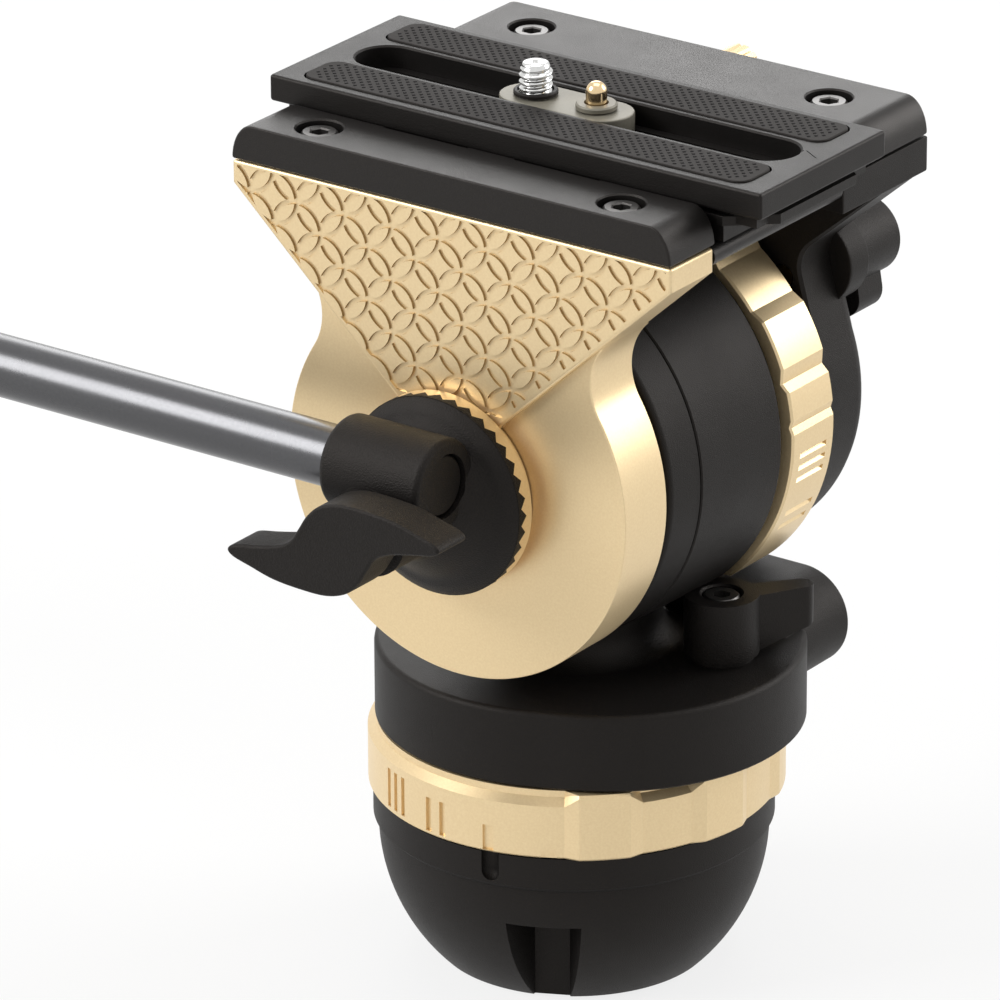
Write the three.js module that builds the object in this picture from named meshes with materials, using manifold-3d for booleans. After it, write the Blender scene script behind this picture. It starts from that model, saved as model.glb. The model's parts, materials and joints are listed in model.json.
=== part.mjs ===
// Fluid video head on a half-ball base: millimetres, +Z up, +X towards the lens.
// The pan axis is Z through the origin; the tilt axis runs along Y above it.
// The origin is the centre of the flat under the half ball, at the tripod thread.
import * as THREE from 'three';
import { mergeVertices } from 'three/addons/utils/BufferGeometryUtils.js';
import Module from 'manifold-3d';

const wasm = await Module();
wasm.setup();

// Clearances shared by every fit, and the overrun of every cut.
const gap = 0.3;
const runningGap = 0.5;
const overrun = 2;
const weld = 0.0001;

// Half-ball base and its pockets. The rim drives the pan ring, the foot and the fluid damper.
const rimRadius = 38.5;
const rimStep = 1;
const ballRadius = rimRadius - rimStep;
const ballCentreHeight = 26.5;
const rimBottom = 27;
const rimTop = 34.3;
const bowlFloor = 22;
const pocketRadius = 7.8;
const pocketInset = 2.2;
const pocketReach = ballRadius - pocketInset;
const pocketHeight = 19.2;
const pocketAngle = -64;
const indexAngle = -79;
const indexGrooveRadius = 1.8;
const indexGrooveDepth = 4;
const insertRadius = 8;
const tripodThreadRadius = 4.76;
const tripodThreadDepth = 16;
const baseScrewAngle = -4;

// Machine screws of the base and of the rails.
const screwHeadRadius = 3.5;
const screwHeadHeight = 3;
const screwShankRadius = 2;
const screwBoreRadius = screwShankRadius + gap;
const counterboreRadius = 4.45;
const counterboreDepth = 4;
const keyRadius = 1.8;
const keyDepth = 1.6;

// Pan drag ring.
const panRingProud = 0.9;
const panRingRadius = rimRadius + panRingProud;
const panRingBottom = rimTop + runningGap;
const panRingTop = 48.2;
const panRingWall = 5.4;
const ringChamferWidth = 1.6;
const ringChamferHeight = 2.7;
const ringPadRise = 1.1;
const padPitchAngle = 36.6;
const padAngle = 13.8;
const padBevelAngle = 4;
const panPadStartAngle = -53.4;
const panPadCount = 7;
const markPitchAngle = 17.3;
const markWidths = [2.2, 1.4, 1.1];
const markDepth = 0.6;
const markSpacingAngles = [0, 5, 3.7];
const markFoot = 0.4;
const markHeightShares = [0.38, 0.52, 0.59];
const notchRadius = 1.6;

// Pan spindle, its nut, bearings and fluid damper.
const damperWall = 3;
const damperCaseRadius = panRingRadius - panRingWall - runningGap;
const damperCaseTop = 46;
const damperDiscHeight = 3;
const spindleRadius = 9;
const spindleFlangeShare = 0.72;
const spindleFlangeRadius = damperCaseRadius * spindleFlangeShare;
const baseScrewInset = 5;
const baseScrewReach = spindleFlangeRadius - baseScrewInset;
const spindleFlangeHeight = 5.7;
const spindleThreadRadius = 6;
const nutFlatRadius = 9.5;
const nutHeight = 4;
const bearingWall = 2.9;
const upperBearingWall = 3;
const rotorHubWall = 3;

// Pan body: round foot with a stretched front, neck, drum and front lobe.
const footRadius = rimRadius - rimStep / 2;
const footStretchX = 6;
const footStretchY = 2.5;
const footBottom = panRingTop + gap;
const footTop = 64;
const footEdge = 1.2;
const neckRadius = 17;
const neckFlare = 6;
const spindleCavityTop = 61.8;
const lobeX = 25.5;
const lobeHeight = 60;
const lobeRadius = 10;
const lobeBack = 41.5;
const lobeFront = 20;
const lobeLength = 14;

// Tilt drum along Y, with the cover at its near end. The ring drives the drum, the disc and the arm.
const tiltRingRadius = 39;
const tiltRingWall = 3.6;
const tiltRingNear = 14.4;
const tiltRingFar = 28.4;
const ringProud = 0.7;
const discRadius = tiltRingRadius - ringProud;
const discClearance = 5.15;
const tiltHeight = footTop + discClearance + discRadius;
const drumNear = -22;
const drumSeam = -13;
const drumGrooveNear = 12.5;
const drumFar = 29;
const drumTaper = 1.8;
const drumFarRadius = tiltRingRadius + 2 * gap / 3;
const drumNearRadius = drumFarRadius - drumTaper;
const drumWall = 3.1;
const drumBoreRadius = tiltRingRadius - tiltRingWall - gap - drumWall;
const drumEdge = 1.2;
const shaftRadius = 7;
const bearingRadius = 11.7;
const bearingWidth = 7;
const tiltPadStartAngle = 20.6;
const tiltPadCount = 8;
const tiltMarkAngle = -8.8;
const tiltMarkInset = 2.6;
const springInset = 10;
const springRadius = drumBoreRadius - springInset;
const springWireRadius = 2.2;
const springTurns = 3;
const tiltDiscWidth = 3;

// Near bracket: a disc with a triangular cheek, in the X-Z plane about the tilt axis.
const discFront = -37.8;
const discBack = -24.5;
const discEdge = 0.9;
const cheekFront = -39.6;
const cheekBack = -26;
const cheekHalfWidth = 49.4;
const bedThickness = 4.2;
const bedClearance = 9.75;
const cheekTop = tiltRingRadius + ringPadRise + bedClearance + bedThickness;
const cheekEndHeight = 4.6;
const cheekFootHalfWidth = 11.9;
const cheekFootHeight = 15.1;
const cheekFillet = 12;

// Rosette between the bracket and the handle: a stepped boss, and a crown of teeth round its step.
const rosetteRadius = 19.5;
const rosetteWall = 0.7;
const rosetteTeeth = 42;
const toothDepth = 1.7;
const bossFace = cheekFront - gap / 3;
const bossFront = bossFace - toothDepth;

// Far arm with the tilt lock lug.
const armNear = 29.9;
const armFar = 45;
const armRadius = tiltRingRadius - 2;
const armEdge = 4;
const armShoulder = 1.2;
const armBlockNear = 16.3;
const armBlockHeight = 7;
const armNeckInset = 8.5;
const armNeckHalf = tiltRingRadius - armNeckInset;
const armNeckDrop = 11.6;
const armNeckHeight = tiltRingRadius - armNeckDrop;
const armFlareReach = 16;
const armFlareAngle = 45;
const armWaistAngle = 35;
const armNeckFillet = 6;
const lugInset = 3.6;
const lugX = armNeckHalf - lugInset;
const lugDrop = 1.85;
const lugZ = armNeckHeight - lugDrop;
const lugRadius = 9;
const lugDepth = 5.2;
const lugProud = 1.2;
const lockStudRadius = 3;
const tiltStudRadius = 2.2;
const lockPadHeight = 2.6;

// Platform bed and the two rails.
const bedHalfLength = 49.5;
const railHalfLength = 49.4;
const railHeight = 7.2;
const railEndRun = 4.8;
const railEdge = 0.6;
const nearRailFront = -39.9;
const nearRailBack = -25.4;
const farRailFront = 16.3;
const farRailBack = 44.8;
const railScrewReach = 34;
const nearScrewY = -33;
const farScrewY = 34.5;
const notchInner = 5.2;
const notchOuter = 24.3;
const notchDepth = 0.8;

// Sliding plate, its pads, slot and screw carrier.
const plateLength = 110.5;
const plateWidth = 40.8;
const plateCentreX = 3.6;
const plateCentreY = -4.55;
const plateRise = 0.4;
const plateThickness = 11.5;
const plateFoot = cheekTop + plateRise;
const plateTop = plateFoot + plateThickness;
const plateSlab = 5.2;
const plateWaistHeight = 1.2;
const plateWaistInset = 2.6;
const plateFlangeHeight = 2;
const plateFlangeInset = 1;
const plateLeadX = 8;
const plateLeadY = 7;
const runnerInset = 1.4;
const runnerEndInset = 9;
const plateEdge = 0.6;
const slotEndWall = 6.25;
const slotLength = plateLength - 2 * slotEndWall;
const slotWidth = 12.2;
const slotDepth = 4.4;
const slotNeckWidth = 8.2;
const headGrooveWidth = 14;
const headGrooveDepth = 3.6;
const padEndInset = 5.25;
const padLength = plateLength - 2 * padEndInset;
const padWidth = 11;
const padCorner = 3;
const padOffset = 12.8;
const padThickness = 1.3;
const padSink = 1.3;
const carrierLength = 28.2;
const carrierWidth = 11.5;
const carrierCentreX = 1.8;
const cameraScrewRadius = 3.175;
const cameraScrewX = -5.2;
const cameraScrewRise = 6.4;
const washerRadius = 4.2;
const washerHeight = 0.8;
const pinX = 8.5;
const pinRadius = 2;
const pinRise = 5.4;
const pinFlangeRadius = 3.9;
const pinFlangeHeight = 1;
const pinLength = 8.4;
const driverSlotWidth = 1.6;

// Plate lock knob and the gib bar that it presses.
const gibCentreHeight = 2.6;
const plateLockX = 3.5;
const plateLockZ = cheekTop + gibCentreHeight;
const plateLockRadius = 4.4;
const plateLockLength = 6;
const plateLockFlutes = 12;
const fluteShare = 0.9;
const plateLockStudRadius = 1.8;
const gibLength = 40;
const gibWidth = 2.5;
const gibHeight = 3.6;

// Lock levers.
const panLockInset = 8;
const panLockPlaceAngle = 13.5;
const panLockX = (footRadius - panLockInset) * Math.cos(THREE.MathUtils.degToRad(panLockPlaceAngle));
const panLockY = (footRadius - panLockInset) * Math.sin(THREE.MathUtils.degToRad(panLockPlaceAngle));
const panLockBottom = 65.2;
const panLockTop = 77;
const panLockHubRadius = 7.2;
const panLockReach = 18.3;
const panLockAngle = 54;
const panLockFootRadius = 6.2;
const panLockTipHeight = 7.4;
const tiltLockHubRadius = 7.8;
const tiltLockLength = 12;
const tiltLockReach = 13.5;
const tiltLockAngle = -78;
const tiltLockRootHalf = 4.6;
const tiltLockTipHalf = 4.2;
const tiltLockWingWidth = 8.6;
const wingRootHalf = 3.6;
const wingTipHalf = 2.1;

// Handle clamp, wing knob, tube and grip.
const clampBack = bossFront - gap;
const clampRimWidth = 2.4;
const clampStepRadius = 15.8;
const clampDomeFront = -54;
const sleeveY = -56;
const sleeveZ = 8.35;
const sleeveRadius = 9;
const sleeveEdge = 1.2;
const sleeveLeft = -20;
const sleeveRight = 11;
const clampHubRadius = 8.6;
const clampHubFront = -65.4;
const tubeRadius = 5.9;
const tubeWall = 1.4;
const tubeEndX = 9.6;
const tubeTailX = -318;
const plugDepth = 8;
const gripRadius = 13.5;
const gripWaistRadius = 12;
const gripLength = 118;
const gripCapLength = 7;
const knobStudRadius = 2.1;
const knobBack = -65.9;
const knobFront = -74.3;
const wingHalfSpan = 24.4;
const wingHalfHeight = 9.5;
const wingPoints = 48;

// Half of the wing knob's outline, from the notch over the top to the tip, in shares of its half sizes.
const wingHalfShares = [[-0.76, -0.36], [-0.53, -0.22], [-0.4, -0.04], [-0.32, 0.25], [-0.24, 0.56],
  [-0.12, 0.83], [0.06, 0.98], [0.28, 1], [0.56, 0.95], [0.79, 0.81], [0.95, 0.7], [1, 0.57], [0.94, 0.45]];

// Rounding of the wing knob: shares along its width and of its outline.
const wingLayerShares = [[0, 0.84], [0.05, 0.93], [0.14, 0.985], [0.28, 1], [0.72, 1], [0.9, 0.95], [1, 0.84]];

// Bubble level on the rear of the foot.
const levelInset = 12;
const levelX = levelInset - footRadius;
const levelY = 0;
const levelRadius = 7.5;
const levelWall = 1.6;
const levelHeight = 4;
const levelSink = 2;

// Facet counts.
const fine = 48;
const medium = 20;
const coarse = 10;

const degrees = THREE.MathUtils.degToRad;

// Finishes.
const blackCast = { color: 0x2f2b29, roughness: 0.62, metalness: 0.2 };
const blackPlate = { color: 0x2b2928, roughness: 0.5, metalness: 0.35 };
const blackMoulded = { color: 0x262423, roughness: 0.7, metalness: 0 };
const gold = { color: 0xe2c995, roughness: 0.38, metalness: 0.75 };
const steel = { color: 0xb9bbbd, roughness: 0.3, metalness: 0.95 };
const darkSteel = { color: 0x3a3a3c, roughness: 0.35, metalness: 0.9 };
const champagne = { color: 0xd8cdb4, roughness: 0.35, metalness: 0.85 };
const rubber = { color: 0x35312f, roughness: 0.9, metalness: 0 };
const brass = { color: 0xc9a24a, roughness: 0.35, metalness: 0.9 };
const glass = { color: 0xc8e070, roughness: 0.1, metalness: 0 };
const tubeFinish = { color: 0x4a4a4d, roughness: 0.3, metalness: 0.7 };

// A three.js geometry as a closed solid with its faces turned outwards.
function solid(geometry) {
  const bare = geometry.clone();
  bare.deleteAttribute('normal');
  bare.deleteAttribute('uv');
  const welded = mergeVertices(bare, weld);
  const position = welded.attributes.position.array;
  const index = Array.from(welded.index.array);
  const faces = [];
  let volume = 0;
  for (let i = 0; i < index.length; i += 3) {
    const [a, b, c] = index.slice(i, i + 3);
    if (a === b || b === c || a === c) continue;
    faces.push([a, b, c]);
    const p = new THREE.Vector3().fromArray(position, a * 3);
    const q = new THREE.Vector3().fromArray(position, b * 3);
    const r = new THREE.Vector3().fromArray(position, c * 3);
    volume += p.dot(q.cross(r));
  }
  const turned = volume < 0 ? faces.map(([a, b, c]) => [a, c, b]) : faces;
  return new wasm.Manifold(new wasm.Mesh({
    numProp: 3,
    vertProperties: Float32Array.from(position),
    triVerts: Uint32Array.from(turned.flat()),
  }));
}

function toGeometry(body) {
  const mesh = body.getMesh();
  const geometry = new THREE.BufferGeometry();
  geometry.setAttribute('position', new THREE.BufferAttribute(mesh.vertProperties, 3));
  geometry.setIndex(new THREE.BufferAttribute(mesh.triVerts, 1));
  geometry.computeVertexNormals();
  return geometry;
}

const join = (first, ...rest) => rest.reduce((sum, body) => sum.add(body), first);
const cut = (first, ...rest) => rest.reduce((left, body) => left.subtract(body), first);

// Outlines are lists of [radius, place along the axis].
function turnY(outline, sides = medium) {
  const points = outline.map(([radius, along]) => new THREE.Vector2(radius, along));
  if (THREE.ShapeUtils.isClockWise(points)) points.reverse();
  return new THREE.LatheGeometry(points, sides);
}

function turnZ(outline, sides = medium) {
  return turnY(outline, sides).rotateX(Math.PI / 2);
}

function turnX(outline, sides = medium) {
  return turnY(outline, sides).rotateZ(-Math.PI / 2);
}

function discOutline(radius, low, high, edge = 0) {
  if (edge === 0) return [[0, low], [radius, low], [radius, high], [0, high]];
  return [[0, low], [radius - edge, low], [radius, low + edge], [radius, high - edge],
    [radius - edge, high], [0, high]];
}

function ringOutline(inner, outer, low, high) {
  return [[inner, low], [outer, low], [outer, high], [inner, high], [inner, low]];
}

// Prisms of a flat outline, with an optional chamfer round both ends.
function prismZ(shape, low, high, edge = 0, curveSegments = 8) {
  const geometry = new THREE.ExtrudeGeometry(shape, {
    depth: high - low - 2 * edge,
    bevelEnabled: edge > 0,
    bevelThickness: edge,
    bevelSize: edge,
    bevelOffset: -edge,
    bevelSegments: 1,
    curveSegments,
  });
  return geometry.translate(0, 0, low + edge);
}

function prismY(shape, low, high, edge = 0, curveSegments = 8) {
  return prismZ(shape, 0, high - low, edge, curveSegments).rotateX(Math.PI / 2).translate(0, high, 0);
}

function prismX(shape, low, high, edge = 0, curveSegments = 8) {
  const turn = new THREE.Matrix4().makeBasis(
    new THREE.Vector3(0, 1, 0), new THREE.Vector3(0, 0, 1), new THREE.Vector3(1, 0, 0));
  return prismZ(shape, low, high, edge, curveSegments).applyMatrix4(turn);
}

// A closed outline carried through layers of [height, width share, height share], along Y.
function layeredY(outline, layers) {
  const position = [];
  for (const [along, shareX, shareZ] of layers) {
    for (const [x, z] of outline) position.push(x * shareX, along, z * shareZ);
  }
  const count = outline.length;
  const flat = outline.map(([x, z]) => new THREE.Vector2(x, z));
  const cap = THREE.ShapeUtils.triangulateShape(flat, []);
  const index = [];
  const last = (layers.length - 1) * count;
  for (const [a, b, c] of cap) {
    index.push(a, b, c, last + a, last + c, last + b);
  }
  for (let layer = 0; layer < layers.length - 1; layer++) {
    for (let i = 0; i < count; i++) {
      const a = layer * count + i;
      const b = layer * count + (i + 1) % count;
      index.push(a, a + count, b, b, a + count, b + count);
    }
  }
  return closedMesh(position, index);
}

function closedMesh(position, index) {
  const geometry = new THREE.BufferGeometry();
  geometry.setAttribute('position', new THREE.Float32BufferAttribute(position, 3));
  geometry.setIndex(index);
  return geometry;
}

function polygon(points) {
  return new THREE.Shape(points.map(([x, y]) => new THREE.Vector2(x, y)));
}

function block(x0, x1, y0, y1, z0, z1) {
  return new THREE.BoxGeometry(x1 - x0, y1 - y0, z1 - z0)
    .translate((x0 + x1) / 2, (y0 + y1) / 2, (z0 + z1) / 2);
}

// A long round-ended outline between two centres.
function stadium(radius, ax, ay, bx, by) {
  const heading = Math.atan2(by - ay, bx - ax);
  const shape = new THREE.Shape();
  shape.absarc(bx, by, radius, heading - Math.PI / 2, heading + Math.PI / 2, false);
  shape.absarc(ax, ay, radius, heading + Math.PI / 2, heading + 1.5 * Math.PI, false);
  return shape;
}

function slotOutline(length, width, x = 0, y = 0) {
  const reach = (length - width) / 2;
  return stadium(width / 2, x - reach, y, x + reach, y);
}

function roundedRectangle(length, width, corner, x, y) {
  const shape = new THREE.Shape();
  const halfLength = length / 2 - corner;
  const halfWidth = width / 2 - corner;
  shape.absarc(x + halfLength, y - halfWidth, corner, -Math.PI / 2, 0, false);
  shape.absarc(x + halfLength, y + halfWidth, corner, 0, Math.PI / 2, false);
  shape.absarc(x - halfLength, y + halfWidth, corner, Math.PI / 2, Math.PI, false);
  shape.absarc(x - halfLength, y - halfWidth, corner, Math.PI, 1.5 * Math.PI, false);
  return shape;
}

function place(parent, name, geometry, finish, x = 0, y = 0, z = 0) {
  const mesh = new THREE.Mesh(geometry, new THREE.MeshStandardMaterial(finish));
  mesh.name = name;
  mesh.position.set(x, y, z);
  parent.add(mesh);
  return mesh;
}

function group(parent, x = 0, y = 0, z = 0) {
  const child = new THREE.Group();
  child.position.set(x, y, z);
  parent.add(child);
  return child;
}

// Half ball with a bowl for the damper, three pockets and the drag index groove.
function ballBase() {
  const outline = [[insertRadius + gap, 0]];
  const arcSteps = 6;
  for (let i = 0; i <= arcSteps; i++) {
    const z = rimBottom * i / arcSteps;
    const drop = z - ballCentreHeight;
    outline.push([Math.sqrt(ballRadius * ballRadius - drop * drop), z]);
  }
  const bowlRadius = damperCaseRadius + gap;
  outline.push([rimRadius, rimBottom + rimRadius - ballRadius], [rimRadius, rimTop]);
  outline.push([bowlRadius, rimTop], [bowlRadius, bowlFloor], [insertRadius + gap, bowlFloor]);
  outline.push(outline[0]);
  let base = solid(turnZ(outline, fine));
  for (let i = 0; i < 3; i++) {
    const pocketTurn = degrees(pocketAngle + 120 * i);
    const pocket = turnZ(discOutline(pocketRadius, -overrun, pocketHeight), medium)
      .translate(pocketReach * Math.cos(pocketTurn), pocketReach * Math.sin(pocketTurn), 0);
    const screwTurn = degrees(baseScrewAngle + 120 * i);
    const bore = turnZ([[0, -overrun], [counterboreRadius, -overrun],
      [counterboreRadius, counterboreDepth], [screwBoreRadius, counterboreDepth],
      [screwBoreRadius, bowlFloor + overrun], [0, bowlFloor + overrun]], coarse)
      .translate(baseScrewReach * Math.cos(screwTurn), baseScrewReach * Math.sin(screwTurn), 0);
    base = cut(base, solid(pocket), solid(bore));
  }
  const indexTurn = degrees(indexAngle);
  const groove = turnZ(discOutline(indexGrooveRadius, rimTop - indexGrooveDepth, rimTop + overrun), medium)
    .translate(rimRadius * Math.cos(indexTurn), rimRadius * Math.sin(indexTurn), 0);
  return toGeometry(cut(base, solid(groove)));
}

function threadInsert() {
  return turnZ([[0, tripodThreadDepth], [tripodThreadRadius, tripodThreadDepth],
    [tripodThreadRadius, 0], [insertRadius, 0], [insertRadius, bowlFloor], [0, bowlFloor]], medium);
}

// A socket-head screw with its head at the top, hanging from z = 0.
function socketScrew(shankLength) {
  const body = turnZ([[0, -shankLength], [screwShankRadius, -shankLength], [screwShankRadius, 0],
    [screwHeadRadius, 0], [screwHeadRadius, screwHeadHeight], [0, screwHeadHeight]], coarse);
  const key = turnZ(discOutline(keyRadius, screwHeadHeight - keyDepth, screwHeadHeight + overrun), 6);
  return toGeometry(cut(solid(body), solid(key)));
}

function panSpindle() {
  const flangeBottom = bowlFloor + gap;
  const flangeTop = flangeBottom + spindleFlangeHeight;
  const nutSeat = spindleCavityTop - nutHeight - gap;
  let body = solid(turnZ([[0, flangeBottom], [spindleFlangeRadius, flangeBottom],
    [spindleFlangeRadius, flangeTop], [spindleRadius, flangeTop], [spindleRadius, nutSeat - gap],
    [spindleThreadRadius, nutSeat - gap], [spindleThreadRadius, nutSeat + nutHeight],
    [0, nutSeat + nutHeight]], medium));
  for (let i = 0; i < 3; i++) {
    const turn = degrees(baseScrewAngle + 120 * i);
    const bore = turnZ(discOutline(screwBoreRadius, flangeBottom - overrun,
      flangeTop - screwShankRadius / 2), coarse)
      .translate(baseScrewReach * Math.cos(turn), baseScrewReach * Math.sin(turn), 0);
    body = cut(body, solid(bore));
  }
  return toGeometry(body);
}

function spindleNut() {
  const seat = spindleCavityTop - nutHeight - gap;
  const cornerRadius = nutFlatRadius / Math.cos(Math.PI / 6);
  const hexagon = solid(turnZ(discOutline(cornerRadius, seat, seat + nutHeight), 6));
  const bore = solid(turnZ(discOutline(spindleThreadRadius + gap, seat - overrun,
    seat + nutHeight + overrun), medium));
  return toGeometry(cut(hexagon, bore));
}

function damperCase() {
  const low = bowlFloor + gap;
  const inner = damperCaseRadius - damperWall;
  const hole = spindleFlangeRadius + gap;
  return turnZ([[hole, low], [damperCaseRadius, low], [damperCaseRadius, damperCaseTop],
    [inner, damperCaseTop], [inner, low + damperWall], [hole, low + damperWall], [hole, low]], medium);
}

const panRotorBottom = bowlFloor + spindleFlangeHeight + 2 * damperDiscHeight;
const rotorHubInner = spindleRadius + bearingWall + 2 * gap;

function panStator() {
  const low = panRotorBottom - damperDiscHeight - runningGap;
  const inner = rotorHubInner + rotorHubWall;
  return turnZ(ringOutline(inner, damperCaseRadius - damperWall - gap, low, low + damperDiscHeight), medium);
}

function panRotor() {
  const low = panRotorBottom;
  const outer = damperCaseRadius - damperWall - runningGap;
  const hub = rotorHubInner + rotorHubWall;
  return turnZ([[rotorHubInner, low], [outer, low], [outer, low + damperDiscHeight],
    [hub, low + damperDiscHeight], [hub, footBottom - gap], [rotorHubInner, footBottom - gap],
    [rotorHubInner, low]], medium);
}

// Step lines of a drag ring's grip: raised pads with sloping sides, in degrees and rise shares.
function padAngles(start, count) {
  const lines = [];
  for (let i = 0; i < count; i++) {
    const at = start + padPitchAngle * i;
    lines.push([at - padBevelAngle, 0], [at, 1], [at + padAngle, 1], [at + padAngle + padBevelAngle, 0]);
  }
  return lines;
}

function polar(radius, angle) {
  return [radius * Math.cos(degrees(angle)), radius * Math.sin(degrees(angle))];
}

// Pads as a band of prisms round the ring, each a closed outline from inside the ring wall.
function padShape(radius, wall, start) {
  const lines = padAngles(start, 1);
  const points = lines.map(([angle, rise]) => polar(radius + rise * ringPadRise, angle));
  const middle = polar(radius + ringPadRise, start + padAngle / 2);
  points.splice(2, 0, middle);
  const last = lines[lines.length - 1][0];
  points.push(polar(radius - wall / 2, last), polar(radius - wall / 2, lines[0][0]));
  return polygon(points);
}

function panDragRing() {
  const inner = panRingRadius - panRingWall;
  const top = panRingTop;
  let ring = solid(turnZ([[inner, panRingBottom], [panRingRadius, panRingBottom],
    [panRingRadius, top - ringChamferHeight], [panRingRadius - ringChamferWidth, top - ringChamferHeight / 2],
    [panRingRadius - ringChamferWidth, top], [inner, top], [inner, panRingBottom]], fine));
  for (let i = 0; i < panPadCount; i++) {
    const start = panPadStartAngle + padPitchAngle * i;
    ring = join(ring, solid(prismZ(padShape(panRingRadius, panRingWall, start), panRingBottom, top)));
  }
  for (let mark = 1; mark <= 3; mark++) {
    for (let line = 0; line < mark; line++) {
      const spread = (line - (mark - 1) / 2) * markSpacingAngles[mark - 1];
      const angle = indexAngle - markPitchAngle * (mark - 1) + spread;
      const half = markWidths[mark - 1] / 2;
      const low = panRingBottom + markFoot * mark;
      const high = low + (top - panRingBottom) * markHeightShares[mark - 1];
      const groove = block(panRingRadius - markDepth, panRingRadius + overrun, -half, half, low, high)
        .rotateZ(degrees(angle));
      ring = cut(ring, solid(groove));
    }
  }
  const notch = turnX(discOutline(notchRadius, panRingRadius - markDepth, panRingRadius + overrun), coarse)
    .translate(0, 0, panRingBottom).rotateZ(degrees(indexAngle + markPitchAngle));
  return toGeometry(cut(ring, solid(notch)));
}

// One casting: foot, neck, drum and lobe, hollow for the damper and the spring.
function panBody() {
  const foot = solid(prismZ(stadium(footRadius, 0, 0, footStretchX, footStretchY),
    footBottom - footEdge, footTop, footEdge, 20));
  const skirt = solid(block(-2 * footRadius, 2 * footRadius, -2 * footRadius, 2 * footRadius,
    footBottom - 2 * footEdge, footBottom));
  const neckTop = tiltHeight - drumBoreRadius - gap;
  const flareSteps = 4;
  const neckOutline = [[0, footTop - footEdge]];
  for (let i = 0; i <= flareSteps; i++) {
    const turn = Math.PI / 2 * i / flareSteps;
    neckOutline.push([neckRadius + neckFlare * (1 - Math.sin(turn)),
      footTop - gap + neckFlare * (1 - Math.cos(turn))]);
  }
  neckOutline.push([neckRadius, neckTop], [0, neckTop]);
  const neck = solid(turnZ(neckOutline, medium));
  const drum = solid(turnY([[0, drumSeam], [(drumNearRadius + drumFarRadius) / 2, drumSeam],
    [drumFarRadius, drumGrooveNear - drumEdge], [drumFarRadius - drumEdge, drumGrooveNear],
    [tiltRingRadius - ringChamferWidth, drumGrooveNear], [tiltRingRadius - ringChamferWidth, tiltRingNear - gap],
    [tiltRingRadius - tiltRingWall - gap, tiltRingNear - gap],
    [tiltRingRadius - tiltRingWall - gap, drumFar - gap], [0, drumFar - gap]], fine)
    .translate(0, 0, tiltHeight));
  const lobeOutline = new THREE.Shape();
  lobeOutline.moveTo(lobeX - lobeLength, lobeHeight - lobeRadius);
  lobeOutline.absarc(lobeX, lobeHeight, lobeRadius, -Math.PI / 2, Math.PI / 2, false);
  lobeOutline.lineTo(lobeX - lobeLength, lobeHeight + lobeRadius);
  lobeOutline.lineTo(lobeX - lobeLength - lobeRadius / 2, footTop);
  lobeOutline.lineTo(lobeX - lobeLength - lobeRadius / 2, lobeHeight - lobeRadius);
  const lobeRoom = solid(turnY(discOutline(tiltRingRadius + ringPadRise + gap, tiltRingNear - gap,
    armNear - overrun / 2), fine).translate(0, 0, tiltHeight));
  const lobe = cut(solid(prismY(lobeOutline, lobeFront, lobeBack, footEdge / 2)), lobeRoom);
  const seat = solid(turnZ(discOutline(panLockFootRadius, footTop - footEdge, panLockBottom - gap), coarse)
    .translate(panLockX, panLockY, 0));
  const spindleRoom = solid(turnZ(discOutline(spindleRadius + bearingWall + 3 * gap + upperBearingWall,
    footBottom - overrun, spindleCavityTop), medium));
  const drumRoom = solid(turnY([[0, drumSeam - overrun], [drumBoreRadius, drumSeam - overrun],
    [drumBoreRadius, drumFar - bearingWidth - damperDiscHeight],
    [bearingRadius + gap, drumFar - bearingWidth - damperDiscHeight],
    [bearingRadius + gap, drumFar + overrun], [0, drumFar + overrun]], fine)
    .translate(0, 0, tiltHeight));
  const lockBore = solid(turnZ(discOutline(lockStudRadius + gap, footBottom - overrun,
    panLockBottom + overrun), coarse).translate(panLockX, panLockY, 0));
  const hubRoom = solid(turnZ(discOutline(panLockHubRadius + runningGap, panLockBottom - gap,
    panLockTop + runningGap), medium).translate(panLockX, panLockY, 0));
  const levelRoom = solid(turnZ(discOutline(levelRadius + gap, footTop - levelSink - gap,
    footTop + overrun), medium).translate(levelX, levelY, 0));
  const coverRoom = solid(turnY(discOutline((drumNearRadius + drumFarRadius) / 2 + gap,
    -2 * footRadius, drumSeam), fine).translate(0, 0, tiltHeight));
  const ringRoom = solid(turnY(discOutline(tiltRingRadius + ringPadRise + gap, tiltRingNear - gap,
    2 * footRadius), fine).translate(0, 0, tiltHeight));
  const whole = join(cut(foot, skirt), cut(neck, coverRoom, ringRoom), drum, lobe, seat);
  return toGeometry(cut(whole, spindleRoom, drumRoom, lockBore, hubRoom, levelRoom));
}

// Everything below is drawn about the tilt axis, with y along it.
function drumCover() {
  const far = drumSeam - gap;
  const seamRadius = (drumNearRadius + drumFarRadius) / 2;
  const spigot = drumBoreRadius - gap;
  const hole = bearingRadius + gap;
  return turnY([[hole, drumNear], [drumNearRadius - drumEdge, drumNear], [drumNearRadius, drumNear + drumEdge],
    [seamRadius, far], [spigot, far], [spigot, far + damperWall], [spigot - damperWall, far + damperWall],
    [spigot - damperWall, far], [hole, far], [hole, drumNear]], fine);
}

function tiltBearing(near) {
  return turnY(ringOutline(shaftRadius + gap, bearingRadius, near, near + bearingWidth), medium);
}

const tiltRotorFar = drumFar - bearingWidth - 2 * damperDiscHeight - tiltDiscWidth;

function tiltStator() {
  const near = tiltRotorFar + runningGap;
  return turnY(ringOutline(bearingRadius + 2 * gap, drumBoreRadius - gap, near, near + tiltDiscWidth - gap), medium);
}

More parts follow.
